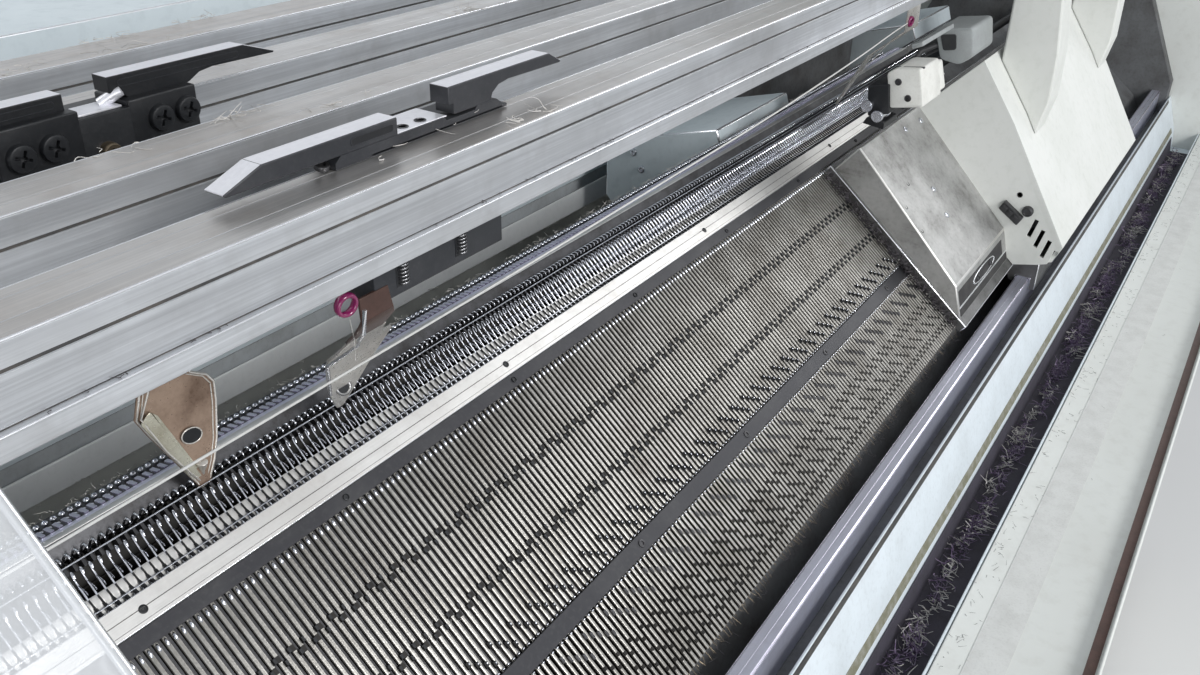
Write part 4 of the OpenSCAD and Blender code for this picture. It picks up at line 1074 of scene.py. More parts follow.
# Rails.
class KNIT_OT_rails(Operator):
    """Builds the four grooved feeder rails with bright edge lines that paint highlights, dark
    strips that paint shade and grime in the grooves, foot ledges and clinging lint
    """

    bl_idname = "knit.rails"
    bl_label = "Feeder rails"

    def execute(self, context):
        rng = np.random.default_rng(11)
        for i, y in RAIL_Y.items():
            self.rail(i, y)
            self.lint(i, y, rng)
        return {"FINISHED"}

    def rail(self, i, y):
        """One rail: body, polished top strips, side grooves at height g, bright lines on the top
        and ledge edges that paint their highlights, and dark strips in the grooves and ledge
        corners that paint shade and grime.
        """
        top, foot, ledge = RAIL_TOP, RAIL_FOOT, RAIL_LEDGE
        g = 1144.7 if i == 4 else 1142.5
        wall, sunk, wide = y + RAIL_HALF, y + RAIL_HALF - 0.6, y + FOOT_HALF
        side = [(wall, top), (wall, g + 0.7), (sunk, g + 0.4), (sunk, g - 0.4), (wall, g - 0.7),
                (wall, ledge), (wide, ledge), (wide, foot)]
        left = [(2 * y - a, b) for a, b in side]
        outline = np.array(side + left[::-1])
        radius = [0.9, 0.05, 0.05, 0.05, 0.05, 0.5, 0.5, 0.4]
        body = prism(0, -RUN_X, RUN_X, rounded(outline, radius + radius[::-1], 3))
        add_piece("feeder_rail_%d_profile" % i, body, "Rail side",
                  replaces=("feeder_rail_%d" % i,))
        strips = []
        for a, b in ((-11.2, -4.4), (-3.9, 6.2), (6.7, 11.2)):
            o = [(y + a, top - 0.2), (y + b, top - 0.2), (y + b, top + 0.05), (y + a, top + 0.05)]
            strips.append(prism(0, -RUN_X, RUN_X, rounded(o, 0.04, 1)))
        add_piece("feeder_rail_%d_top" % i, strips, "Rail top")
        # Bright tubes along the top and ledge edges paint the highlights on them.
        lines = []
        for k in (-1, 1):
            lines.append(tube(self.line(y + k * 11.62, top - 0.32), 0.42, 8))
            lines.append(tube(self.line(y + k * 14.2, ledge - 0.3), 0.36, 8))
        add_piece("feeder_rail_%d_edges" % i, lines, "Rail edge", smooth=60)
        # Dark strips in the side grooves and ledge corners paint the shade there, with some grime.
        dark = []
        for k in (-1, 1):
            a, b = y + k * 11.3, y + k * 11.55
            dark.append(prism(0, -RUN_X, RUN_X, [(a, g - 0.45), (b, g - 0.45), (b, g + 0.45),
                                                 (a, g + 0.45)]))
            a, b = y + k * 11.9, y + k * 12.25
            dark.append(prism(0, -RUN_X, RUN_X, [(a, ledge - 0.1), (b, ledge - 0.1),
                                                 (b, ledge + 0.35), (a, ledge + 0.35)]))
        add_piece("feeder_rail_%d_grooves" % i, dark, "Groove")

    def lint(self, i, y, rng):
        """Fibres in clusters along the upper edges, more on the rear rails; dirt on the ledges."""
        count = {1: 60, 2: 50, 3: 30, 4: 14}[i]
        hub = rng.uniform(-RUN_X + 20, RUN_X - 20, count)
        edge = np.where(rng.uniform(size=count) < 0.6, -1, 1)
        n = rng.integers(5, 16, count)
        x = np.repeat(hub, n) + rng.normal(0, 9, n.sum())
        at = y + np.repeat(edge, n) * (11.0 - np.abs(rng.normal(0, 2.5, n.sum())))
        z = RAIL_TOP + 0.15 + np.abs(rng.normal(0, 0.8, n.sum()))
        hair = fluff(points(np.clip(x, -RUN_X + 8, RUN_X - 8), at, z), 8.0, 0.8, 0.2, rng, 0.22)
        low = np.repeat(rng.uniform(-RUN_X + 20, RUN_X - 20, 120), 3)
        side = np.where(rng.uniform(size=360) < 0.7, -1, 1)
        ledge = points(low + rng.normal(0, 5, 360), y + side * rng.uniform(12.3, 13.6, 360),
                       RAIL_LEDGE + rng.uniform(0.1, 0.5, 360))
        speck = fluff(ledge, 1.4, 0.9, 0.16, rng, 0.2, 4)
        add_piece("feeder_rail_%d_lint" % i, hair, "Lint", smooth=60)
        add_piece("feeder_rail_%d_dirt" % i, speck, "Dark lint", smooth=60)

    def line(self, y, z):
        """Straight path along the beds."""
        return points(np.linspace(-RUN_X, RUN_X, 40), y, z)


# Carriage.
def box_top(s):
    """Height of a front cam box's top over the ridges: 41 at s = 50, falling 13 in 131."""
    return 41 - (s - 50) * 13 / 131


class KNIT_OT_carriage(Operator):
    """Dresses the cam plates and boxes, the cover and its fittings, the arches and the bridge"""

    bl_idname = "knit.carriage"
    bl_label = "Carriage"

    def execute(self, context):
        body = "carriage"
        dress_rows((
            ("carriage_bridge", "Cast iron", 1.2, "casting", None),
            # The cam plates' bevels in Rail edge paint a highlight along their edges.
            ("front_cam_plate rear_cam_plate", "Cam plate metal", 0.8, "cam_steel",
             "Rail edge")), body=body)
        dress_rows((
            # The front cam boxes' bevels in Cap steel and the rear ones' in Rail edge paint a
            # highlight along their rounded edges.
            ("front_cam_box_left front_cam_box_right", "Cam box metal", 1.8, "box_steel",
             "Cap steel"),
            ("rear_cam_boxes", "Blue paint", 2.2, "blue_paint", "Rail edge"),
            ("carriage_cover", "Cover paint", 2.4, "cover_paint", None),
            ("left_arch right_arch", "Cover paint", 1.8, "cover_paint", None)),
            body=body, steps=3)
        self.box_fittings()
        self.box_feet()
        self.wall_fittings()
        self.gap_fittings()
        return {"FINISHED"}

    def box_fittings(self):
        """Screws of the front and rear cam boxes, and holes drawn as black cups that paint the
        shade inside them.
        """
        up, screws, holes = (0, -SN, CS), [], []
        for x0 in (0, BOX_STEP):
            for x, s in ((296, 62), (260, 60), (238, 113), (231, 136)):
                screws.append(screw(bed_point(x + x0, s, box_top(s) - 0.1), up, 2.6, 1.1, "cross"))
            for x, s in ((179, 109), (178, 131), (205, 96)):
                holes.append(spindle(bed_point(x + x0, s, box_top(s) - 0.4), up, HOLE_SECTION, 16))
        for y, z in ((140.6, 952.6), (131.7, 938.5)):
            screws.append(screw((172.2, y, z), (-1, 0, 0), 3.4, 2.0, "hex"))
        add_piece("cam_box_screws", screws, "Bright steel", "carriage",
                  smooth=40)
        # The black cups paint the shade inside the holes.
        add_piece("cam_box_holes", holes, "Black oxide", "carriage",
                  smooth=40)

    def box_feet(self):
        """Dark bands that paint the shade of the hollow, oval rim, bolts and a bright band that
        paints the highlight on the lip, on the lower end of each front cam box.
        """
        def foot(t, out):
            """Point (s, h) a share t down the end face, moved out along its normal (0.57, 0.82)."""
            return 181 + 23 * t + 0.57 * out, 28 - 16 * t + 0.82 * out

        dark, bright, bolts = [], [], []
        for x0 in (172, 172 + BOX_STEP):
            # Two dark bands paint the shade of the hollow; the thin bright band between them paints
            # the highlight on the lip.
            for t0, t1, a, b, group in ((0.2, 0.66, 3, 126, dark), (0.66, 0.72, 2, 138, bright),
                                        (0.72, 0.97, 2, 138, dark)):
                section = [foot(t0, -0.2), foot(t1, -0.2), foot(t1, 0.35), foot(t0, 0.35)]
                group.append(prism(0, x0 + a, x0 + b, bed_outline(section, -1)))
            u = np.linspace(0, 2 * np.pi, 33)
            s, h = foot(0.44 + 0.17 * np.sin(u), 0.5)
            bright.append(tube(bed_point(x0 + 70 + 30 * np.cos(u), s, h), 0.6, 8))
            for x in (52, 88):
                s, h = foot(0.44, 0.3)
                bolts.append(screw(bed_point(x0 + x, s, h), (0, -0.94, 0.34), 2.8, 1.6, "hex"))
        add_piece("cam_box_hollow_shade", dark, "Hollow shade", "carriage")
        add_piece("cam_box_lips", bright, "Rail edge", "carriage", smooth=60)
        add_piece("cam_box_bolts", bolts, "Dark steel", "carriage", smooth=40)

    def wall_fittings(self):
        """Connector, knob and small hole on the left wall of the cover, the hole a dark disc that
        paints its shade.
        """
        black, x = "Black plastic", 312
        body = prism(0, x - 5.5, x + 0.2, rounded([(-153, 931.5), (-170.5, 919.5), (-166.5, 912.0),
                                                   (-149, 924.0)], 1.2, 3), 0.6)
        pins = [prism(0, x - 7.5, x - 5.3, rounded([(a, b), (a - 3.5, b - 2.4), (a - 1.5, b - 6),
                                                    (a + 2, b - 3.6)], 0.4, 2), 0.3)
                for a, b in ((-153.5, 928.6), (-158.5, 925.2), (-163.5, 921.8))]
        add_piece("cover_connector", [body] + pins, black, "carriage")
        knob = spindle((x + 0.1, -172.7, 925.5), (-1, 0, 0),
                       [(4.6, 0), (4.6, 3.2), (4.2, 3.9), (3.2, 4.2), (2.8, 3.5), (0.1, 3.3)], 28)
        add_piece("cover_knob", knob, "Dark steel", "carriage")
        # A dark disc paints the shade in the small hole.
        spot = spindle((x + 0.1, -163.3, 938.1), (-1, 0, 0),
                       [(2.4, 0), (2.4, 0.35), (2.0, 0.45), (1.8, 0.1), (0.1, 0.1)], 20)
        add_piece("cover_hole", spot, "Dark steel", "carriage")

    def gap_fittings(self):
        """Block, box, rollers, brackets and cables near the gap, a black plate painting shade on
        the beige bracket, lint at the cam plate's edge.
        """
        body = "carriage"
        white = prism(0, 182, 226, rounded([(-74, 1057), (-80, 1061.5), (-99, 1064), (-105.5, 1036),
                                            (-80, 1031)], 2.2, 4), 1.5)
        foot = prism(0, 226, 240, rounded([(-76, 1056), (-98, 1060), (-104, 1038), (-82, 1034)],
                                          2, 3), 1)
        add_piece("gap_block", [white, foot], "White block", body)
        marks = [screw((182.1, -84, 1052), (-1, 0, 0), 2.6, 1.0, "cross"),
                 screw((182.1, -93, 1041), (-1, 0, 0), 2.6, 1.0, "cross"),
                 prism(0, 189, 191, [(-79, 1061.3), (-99.5, 1064.3), (-99.8, 1063.2),
                                     (-79, 1060.2)])]
        add_piece("gap_block_screws", marks, "Dark steel", body, smooth=40)
        black = prism(0, 180, 222, rounded([(-61.5, 1046), (-78, 1049.5), (-81, 1027),
                                            (-64.5, 1022.5)], 1.2, 3), 0.8)
        plate = prism(0, 184, 214, rounded([(-60, 1015), (-63, 1020.5), (-77, 1018),
                                            (-77, 1013)], 1.0))
        add_piece("gap_box", [black, plate], "Black oxide", body)
        roll = [(4.2, 0), (4.6, 0.6), (4.6, 3), (3.6, 3.4), (3.6, 16), (4.6, 16.4), (4.6, 20),
                (0.2, 20.4)]
        rolls = [spindle((174, y, z), (1, 0, 0), roll, 24)
                 for y, z in ((-64.5, 1031.5), (-73.5, 1025))]
        add_piece("gap_rollers", rolls, "Bright steel", body, smooth=50)
        cream = prism(0, 186, 262, rounded([(-88, 1080), (-96, 1083.5), (-97, 1080), (-89, 1076.5)],
                                           0.8), 0.6)
        beige = prism(0, 268, 326, rounded([(-80, 1076), (-110, 1081), (-114, 1058), (-104, 1050),
                                            (-88, 1052)], 4, 5), 2.0)
        add_piece("gap_brackets", [cream, beige], "Grey plastic", body)
        # A thin black plate on the beige bracket's left face paints the shade there; the two tubes
        # are cables.
        shade = [prism(0, 266.5, 268.2, rounded([(-86, 1072), (-98, 1074), (-100, 1062),
                                                 (-90, 1060)], 2, 4)),
                 tube([(232, -70, 1024), (250, -66, 1040), (262, -74, 1058), (272, -86, 1064)],
                      2.2, 10),
                 tube([(228, -66, 1020), (254, -60, 1030), (284, -66, 1046), (300, -84, 1058)],
                      1.6, 10)]
        add_piece("gap_cables_and_shade", shade, "Black plastic", body, smooth=60)
        rng = np.random.default_rng(23)
        n = 620
        s = rng.uniform(48, 206, n)
        grime = bed_point(171.2 + rng.normal(0, 0.5, n), s, rng.uniform(3.0, 10.0, n))
        wool = fluff(grime, 3.4, 1.0, 0.62, rng, 0.6, 4)
        add_piece("cam_plate_grime", wool, "Dark lint", body, smooth=60)


# Feeders.
def feeder_profile(face, side, top, foot, depth=14.0):
    """Section of a feeder body that hooks over a rail and under its foot ledge."""
    pts = [(-6, RAIL_TOP + 0.3), (-6, top), (depth, top), (depth, foot), (-2, foot),
           (-2, RAIL_FOOT - 0.3), (3.1, RAIL_FOOT - 0.3), (3.1, RAIL_LEDGE + 0.3),
           (0.3, RAIL_LEDGE + 0.3), (0.3, RAIL_TOP + 0.3)]
    return [(face + side * a, b) for a, b in pts]


def blade(rows, t):
    """Bent sheet of changing width: rows (y, z, x0, x1), t thick along the normal of the bend."""
    r = np.asarray(rows, float)
    d = np.gradient(r[:, :2], axis=0)
    d /= np.linalg.norm(d, axis=1, keepdims=True)
    back = r[:, :2] + np.stack([-d[:, 1], d[:, 0]], axis=1) * t
    return loft(np.stack([np.column_stack([r[:, k], p]) for k, p in
                          ((2, r[:, :2]), (3, r[:, :2]), (3, back), (2, back))], axis=1))


def spring(centre, radius, height, turns, wire):
    """Upright helix: centre + radius (cos u, sin u) + height u / (2 pi turns)."""
    u = np.linspace(0, 2 * np.pi * turns, int(turns * 14))
    path = np.stack([radius * np.cos(u), radius * np.sin(u), height * u / u[-1]], axis=1)
    return tube(np.asarray(centre, float) + path, wire, 6, up=(0.01, 0.02, 1))


class KNIT_OT_feeders(Operator):
    """Builds the bodies, driving arms, springs, screws, rings and noses of the yarn feeders"""

    bl_idname = "knit.feeders"
    bl_label = "Feeders"

    def execute(self, context):
        self.first()
        for i, place in THREAD_FEEDERS.items():
            self.thread_feeder(i, *place)
        self.nose_1()
        self.nose_2()
        dressed("feeder_3_nose", "Nose silver", 0.2, "bronze", "Nose grey", "feeder_3")
        for i, place in RING_PLACES.items():
            torus = ring(place, (0.12, 1, 0.1), 3.55, 0.95, 44, 12, 1.7)
            add_piece("feeder_%d_ring" % i, torus, "Ring ceramic", "feeder_%d" % i,
                      ("feeder_%d_eyelet" % i,), smooth=60)
        return {"FINISHED"}

    def arm(self, name, outline, top, y0, y1, look, bright, body, replaces=()):
        """Milled arm between y0 and y1: dark sides and a ground upper face."""
        add_piece(name, prism(1, y0, y1, outline), look, body, replaces, edge=0.35)
        faces = []
        for a, b in zip(top[:-1], top[1:]):
            d = np.subtract(b, a) / np.linalg.norm(np.subtract(b, a))
            n = np.array([-d[1], d[0]]) * (1 if d[0] > 0 else -1)
            a, b = np.add(a, d * 0.12), np.subtract(b, d * 0.12)
            o = np.array([a + n * 0.05, b + n * 0.05, b - n * 0.4, a - n * 0.4])
            faces.append(prism(1, y0 + 0.4, y1 - 0.4, o))
        add_piece(name + "_ground_top", faces, bright, body)
        x = [p[0] for p in outline]
        z = [p[1] for p in top]
        return min(x), max(x), min(z)

    def panel(self, name, x0, x1, z0, z1, y, body):
        """Sunk panel on an arm's side: a dark rounded plate that paints the shade of the sunk slot,
        with a fine raised rim.
        """
        r = (z1 - z0) / 2
        rim = rounded([(x0, z0), (x1, z0), (x1, z1), (x0, z1)], r, 6)
        path = points(rim[:, 0], y, rim[:, 1])
        path = np.vstack([path, path[:1]])
        # The dark plate paints the shade of the sunk panel.
        slot = prism(1, y - 0.06, y + 0.3, rim)
        add_piece(name + "_panel", slot, "Black oxide", body)
        add_piece(name + "_panel_rim", tube(path, 0.16, 6, up=(0, 1, 0)), "Grey oxide", body)

    def first(self):
        """Black feeder on rail 2: two clamp blocks with cross screws and a clamp piece between."""
        body, face = "feeder_1", 18.5
        low = prism(0, -436, -361, rounded(feeder_profile(face, -1, 1155.2, 1097), 0.5, 2), 0.5)
        blocks = [prism(0, a, b, rounded([(4.3, z0), (4.3, z1), (24.3, z1), (24.3, 1152.4),
                                          (17.5, 1152.4), (17.5, z0)], 0.8, 3), 0.8)
                  for a, b, z0, z1 in ((-436, -406.5, 1141.4, 1158.4),
                                       (-388.2, -360.6, 1141.3, 1157.4))]
        middle = prism(0, -406.2, -388.6, rounded([(6.2, 1138), (6.2, 1155.4), (17, 1155.4),
                                                   (17, 1138)], 0.8, 3), 0.6)
        add_piece("feeder_1_body", [low] + blocks + [middle], "Black oxide", body,
                  ("feeder_1_carrier",), edge=0.3)
        right = [(-391.8, 1160), (-391.8, 1165.6), (-334, 1165.6), (-319.8, 1160.6),
                 (-320.4, 1160.1), (-349, 1160.6), (-355, 1159.8), (-360, 1157.2),
                 (-364, 1156.8), (-364, 1157.2), (-385, 1157.2), (-388, 1160)]
        self.arm("feeder_1_right_arm", right, [(-391.8, 1165.6), (-334, 1165.6), (-319.8, 1160.6)],
                 8.5, 17, "Black oxide", "Ground top", body, ("feeder_1_arms",))
        self.panel("feeder_1_right_arm", -388, -337, 1161.6, 1164, 8.45, body)
        left = [(-408.5, 1157.8), (-408.5, 1163.8), (-467, 1163.8), (-481, 1159.4),
                (-480.4, 1158.9), (-452, 1159), (-443, 1158.6), (-438, 1157.8)]
        self.arm("feeder_1_left_arm", left, [(-408.5, 1163.8), (-467, 1163.8), (-481, 1159.4)],
                 8.5, 17, "Black oxide", "Ground top", body)
        self.panel("feeder_1_left_arm", -464, -412, 1159.9, 1162.2, 8.45, body)
        plate = prism(0, -405.6, -389.2, rounded([(6.6, 1155.3), (16.6, 1155.3), (16.6, 1156),
                                                  (6.6, 1156)], 0.2, 2), 0.3)
        pin = tube([(-393.5, 12.5, 1156.2), (-389.5, 9.5, 1159.2), (-387.5, 8.0, 1160.2)],
                   [2.1, 2.1, 1.7], 12)
        add_piece("feeder_1_plate", [plate, pin], "Ground top", body)
        heads = [screw((x, 4.5, z), (0, -1, 0), 4.7, 2.7, "cross")
                 for x, z in ((-377, 1149), (-365.9, 1149.4), (-428.9, 1148.4), (-417.6, 1148.8))]
        add_piece("feeder_1_screws", heads, "Black oxide", body, smooth=40)
        bolt = screw((-398.7, 6.4, 1142.2), (0, -1, 0), 3.6, 5.5, "hex")
        strip = prism(0, -436, -361, rounded([(3.2, 1134), (4.4, 1134), (4.4, 1140), (3.2, 1140)],
                                             0.3, 2), 0.4)
        add_piece("feeder_1_bolt", bolt, "Oiled steel", body, smooth=40)
        add_piece("feeder_1_strip", strip, "Dark steel", body)

    def thread_feeder(self, i, x, face, side):
        """Grey feeder: slide with a ground top, hooked and long arms, holes and wells drawn as dark
        patches that paint their shade, and springs.
        """
        body = name = "feeder_%d" % i
        section = rounded(feeder_profile(face, side, 1153.6, 1098), 0.4, 2)
        low = prism(0, x - 55, x + 14, section, 0.4)
        far, near = face + side * 9.5, face - side * 6
        y0, y1 = min(far, near), max(far, near)
        slide = [(x - 70, 1152.4), (x - 70, 1154.4), (x - 67.5, 1156.4), (x - 20, 1156.4),
                 (x - 19, 1155.2), (x - 4, 1155.2), (x - 3, 1156.4), (x + 8, 1156.4),
                 (x + 11, 1154.2), (x + 11, 1152.4)]
        add_piece(name + "_body", [low, prism(1, y0, y1, slide)], "Grey oxide", body,
                  (name + "_carrier",), edge=0.35)
        ground = [(y0 + 0.8, 1156.2), (y1 - 0.8, 1156.2), (y1 - 0.8, 1156.6), (y0 + 0.8, 1156.6)]
        plate = prism(0, x - 56, x - 18, rounded(ground, 0.1, 1), 0.2)
        add_piece(name + "_plate", plate, "Ground top", body)
        b0, b1 = (-92.5, -84.0) if i == 2 else (face - 2.5, face + 6)
        hook = [(x - 17.5, 1160), (x - 17.5, 1166.2), (x + 40, 1166.2), (x + 47.5, 1162),
                (x + 46.8, 1161.4), (x + 15, 1162), (x + 9.5, 1161.2), (x + 6, 1159),
                (x + 4.7, 1156.2), (x - 15, 1156.2), (x - 15, 1160)]
        self.arm(name + "_hook_arm", hook, [(x - 17.5, 1166.2), (x + 40, 1166.2), (x + 47.5, 1162)],
                 b0, b1, "Grey oxide", "Ground top", body, (name + "_arms",))
        long_bar = [(x - 42.5, 1156.3), (x - 42.5, 1162.2), (x - 97, 1162.2), (x - 111, 1157.2),
                    (x - 110.2, 1156.3)]
        top = [(x - 42.5, 1162.2), (x - 97, 1162.2), (x - 111, 1157.2)]
        self.arm(name + "_long_arm", long_bar, top, b0, b1, "Grey oxide", "Ground top", body)
        self.panel(name + "_long_arm", x - 63, x - 44.5, 1158.2, 1160.6, b0 - 0.05, body)
        # Dark discs paint the shade in the two holes; a hex screw joins them.
        holes = [spindle((x - d, (b0 + b1) / 2, 1156.5), (0, 0, 1),
                         [(2.1, 0), (2.1, 0.35), (1.6, 0.4), (1.5, 0.1), (0.1, 0.1)], 18)
                 for d in (36, 27.5)]
        holes.append(screw((x - 73, b0 + 3, 1153.4), (0, -0.3, 1), 2.4, 1.6, "hex"))
        add_piece(name + "_holes", holes, "Dark steel", body, smooth=40)
        out = face - 2.4 if side == 1 else face - 14.4
        # Black plates behind the springs paint the shade in the recesses that hold them.
        coils, wells = [], []
        for d in (41.5, 10.5):
            wells.append(prism(0, x - d - 3, x - d + 3, [(out + 0.25, 1101), (out + 0.5, 1101),
                                                        (out + 0.5, 1113), (out + 0.25, 1113)]))
            coils.append(spring((x - d, out - 0.2, 1101.5), 1.7, 11.0, 8, 0.35))
        add_piece(name + "_well_shade", wells, "Black oxide", body)
        add_piece(name + "_springs", coils, "Spring steel", body, smooth=60)

    def nose_1(self):
        """Bronze nose with raised rims, an oval hole drawn as a black patch that paints its shade,
        a folded pale sheet, a funnel and a wire.
        """
        body = "feeder_1"
        rows = np.array([(4.2, 1122, -407, -386), (4.2, 1052, -407.5, -386),
                         (4.2, 1047.5, -408.6, -384.5), (4.2, 1043, -410, -377.5),
                         (4.1, 1038.5, -411.6, -374.8), (3.7, 1030, -408, -375.6),
                         (2.4, 1014.6, -400.6, -379), (1.3, 1006, -396.6, -382.6),
                         (0.2, 997, -392.4, -387.4)])
        add_piece("feeder_1_nose_plate", blade(rows, -1.0), "Nose bronze", body,
                  ("feeder_1_nose",), edge=0.15)
        edges = []
        for k, out in ((2, 0.7), (3, -0.7)):
            for shift, r in ((0.0, 0.5), (1.7, 0.28)):
                way = out / 0.7 * shift
                front = rows[1:, 0] - np.where(rows[1:, 1] < 1000, 0.4, 1.15)
                path = points(rows[1:, k] + out + way, front, rows[1:, 1])
                edges.append(tube(path, r, 7, up=(0, 1, 0)))
        add_piece("feeder_1_nose_rims", edges, "Nose silver", body, smooth=60)
        sheet = prism(1, -0.2, 0.4, rounded([(-411.3, 1037.8), (-406.6, 1041.5), (-401, 1028),
                                            (-391, 1003), (-388, 996.6), (-391.8, 996.2),
                                            (-396.6, 1006)], 0.8, 2))
        flap = prism(1, 0.3, 3.0, rounded([(-405.5, 1040), (-403.6, 1038), (-391, 1006),
                                           (-393, 1005)], 0.5, 2))
        add_piece("feeder_1_nose_sheet", [sheet, flap], "Nose pale", body,
                  edge=0.15)
        u = np.linspace(0, 2 * np.pi, 28, endpoint=False)
        oval = np.stack([-390.5 + 4.6 * np.cos(u),
                         1021 + 3.6 * np.sin(u) - 0.9 * np.cos(u)], axis=1)
        # A black oval paints the shade in the hole.
        add_piece("feeder_1_nose_hole", prism(1, 1.3, 2.6, oval), "Black oxide", body)
        line = points(oval[:, 0], 1.35, oval[:, 1])
        add_piece("feeder_1_hole_rim", tube(np.vstack([line, line[:1]]), 0.3, 7, up=(0, 1, 0)),
                  "Nose silver", body, smooth=60)
        tip = spindle((-389.8, -1.0, 1009), (0.06, 0.22, -1),
                      [(1.7, 0), (2.3, 0.5), (1.9, 2.4), (0.9, 5.5), (0.7, 9.0), (0.5, 8.8),
                       (0.1, 8.2)], 20)
        wire = tube([(-404, 2.0, 1049), (-410.5, 0.4, 1040), (-404, -1.2, 1022), (-396, -1.6, 1007),
                     (-391, 0.2, 999)], 0.45, 8)
        add_piece("feeder_1_funnel", [tip, wire], "Nose silver", body, smooth=60)

    def nose_2(self):
        """Brown arm from the body, a bright bent nose with its eye over the gap, a black disc that
        paints the shade in the eye's bore, and a bent bar.
        """
        body = "feeder_2"
        brown = blade([(-88.8, 1104, -377.5, -364), (-88.8, 1095, -377, -362),
                       (-86, 1091, -376, -359), (-72, 1079, -366, -349),
                       (-57, 1066.6, -357, -338)], 1.2)
        add_piece("feeder_2_brown_arm", brown, "Brown plate", body, ("feeder_2_nose",),
                  edge=0.2)
        low = blade([(-59.5, 1068.6, -356, -338), (-41.6, 1052.7, -349, -324),
                     (-33.6, 1045.8, -346.5, -310), (-29.1, 1040.8, -344, -308.2),
                     (-21.3, 1027.3, -338, -311.8), (-14.1, 1015, -331.6, -313.6),
                     (-7, 1003, -323.4, -314.8), (-4, 998, -319.6, -316)], 1.2)
        add_piece("feeder_2_bright_nose", low, "Nose silver", body, edge=0.2)
        bar = tube([(-377.8, -91.2, 1101), (-378.6, -90.6, 1092), (-366, -74, 1078),
                    (-353, -58.6, 1065), (-346, -32, 1043), (-332.5, -15.6, 1016.2)], 0.75, 8)
        add_piece("feeder_2_bent_bar", bar, "Rail edge", body, smooth=60)
        cut = ring((-324, -14.4, 1015.7), (0.1, 0.86, -0.5), 3.4, 0.8, 26, 8)
        # A black disc paints the shade in the eye's bore.
        bore = spindle((-324, -15.0, 1015.2), (0.0, -0.86, 0.5),
                       [(3.2, 0), (3.2, 0.2), (0.1, 0.2)], 26)
        add_piece("feeder_2_nose_eye", cut, "Nose grey", body, smooth=60)
        add_piece("feeder_2_nose_bore", bore, "Black oxide", body)


# Yarn.
class KNIT_OT_yarn(Operator):
    """Runs the taut yarn from a guide at the left bracket to the ring and nose of feeder 3"""

    bl_idname = "knit.yarn"
    bl_label = "Yarn"

    def execute(self, context):
        r = context.scene.knit_sizes.yarn / MM / 2
        places = np.array([(YARN_START, 1052.5), (-760, 1053.6), (-495, 1056.7), (-268, 1058.8),
                           (6, 1065), (150, 1072), (YARN_END, 1080.6)])
        x = np.linspace(YARN_START, YARN_END, 160)
        z = np.interp(x, places[:, 0], places[:, 1])
        z = np.convolve(np.pad(z, 6, "edge"), np.ones(13) / 13, "valid")
        path = points(x, YARN_Y, z)
        yarn = add_piece("feed_yarn", tube(path, r, 8), "Yarn", None, smooth=60)
        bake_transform(yarn)
        eye = ring((-1076.5, YARN_Y, 1052.5), (1, 0, 0), 2.6, 0.8, 28, 8)
        stem = tube([(-1079.6, YARN_Y, 1056.6), (-1077.5, YARN_Y, 1056.4),
                     (-1076.6, YARN_Y, 1055.4)], 0.8)
        add_piece("yarn_guide", [eye, stem], "Bright steel", smooth=60)
        end = tube([(YARN_END, YARN_Y, 1080.4), (266, -48, 1064), (272, -30, 1040), (279, -9, 1012),
                    (280, -1.9, 1000.5)], r * 0.8, 8)
        add_piece("feeder_3_yarn_end", end, "Yarn", "feeder_3", smooth=60)
        hang = tube([(-384, -90.5, 1100), (-383.5, -91.2, 1092), (-384.4, -91.6, 1085)], 0.1, 6)
        add_piece("ring_2_thread", hang, "Lint", "feeder_2", smooth=60)
        return {"FINISHED"}


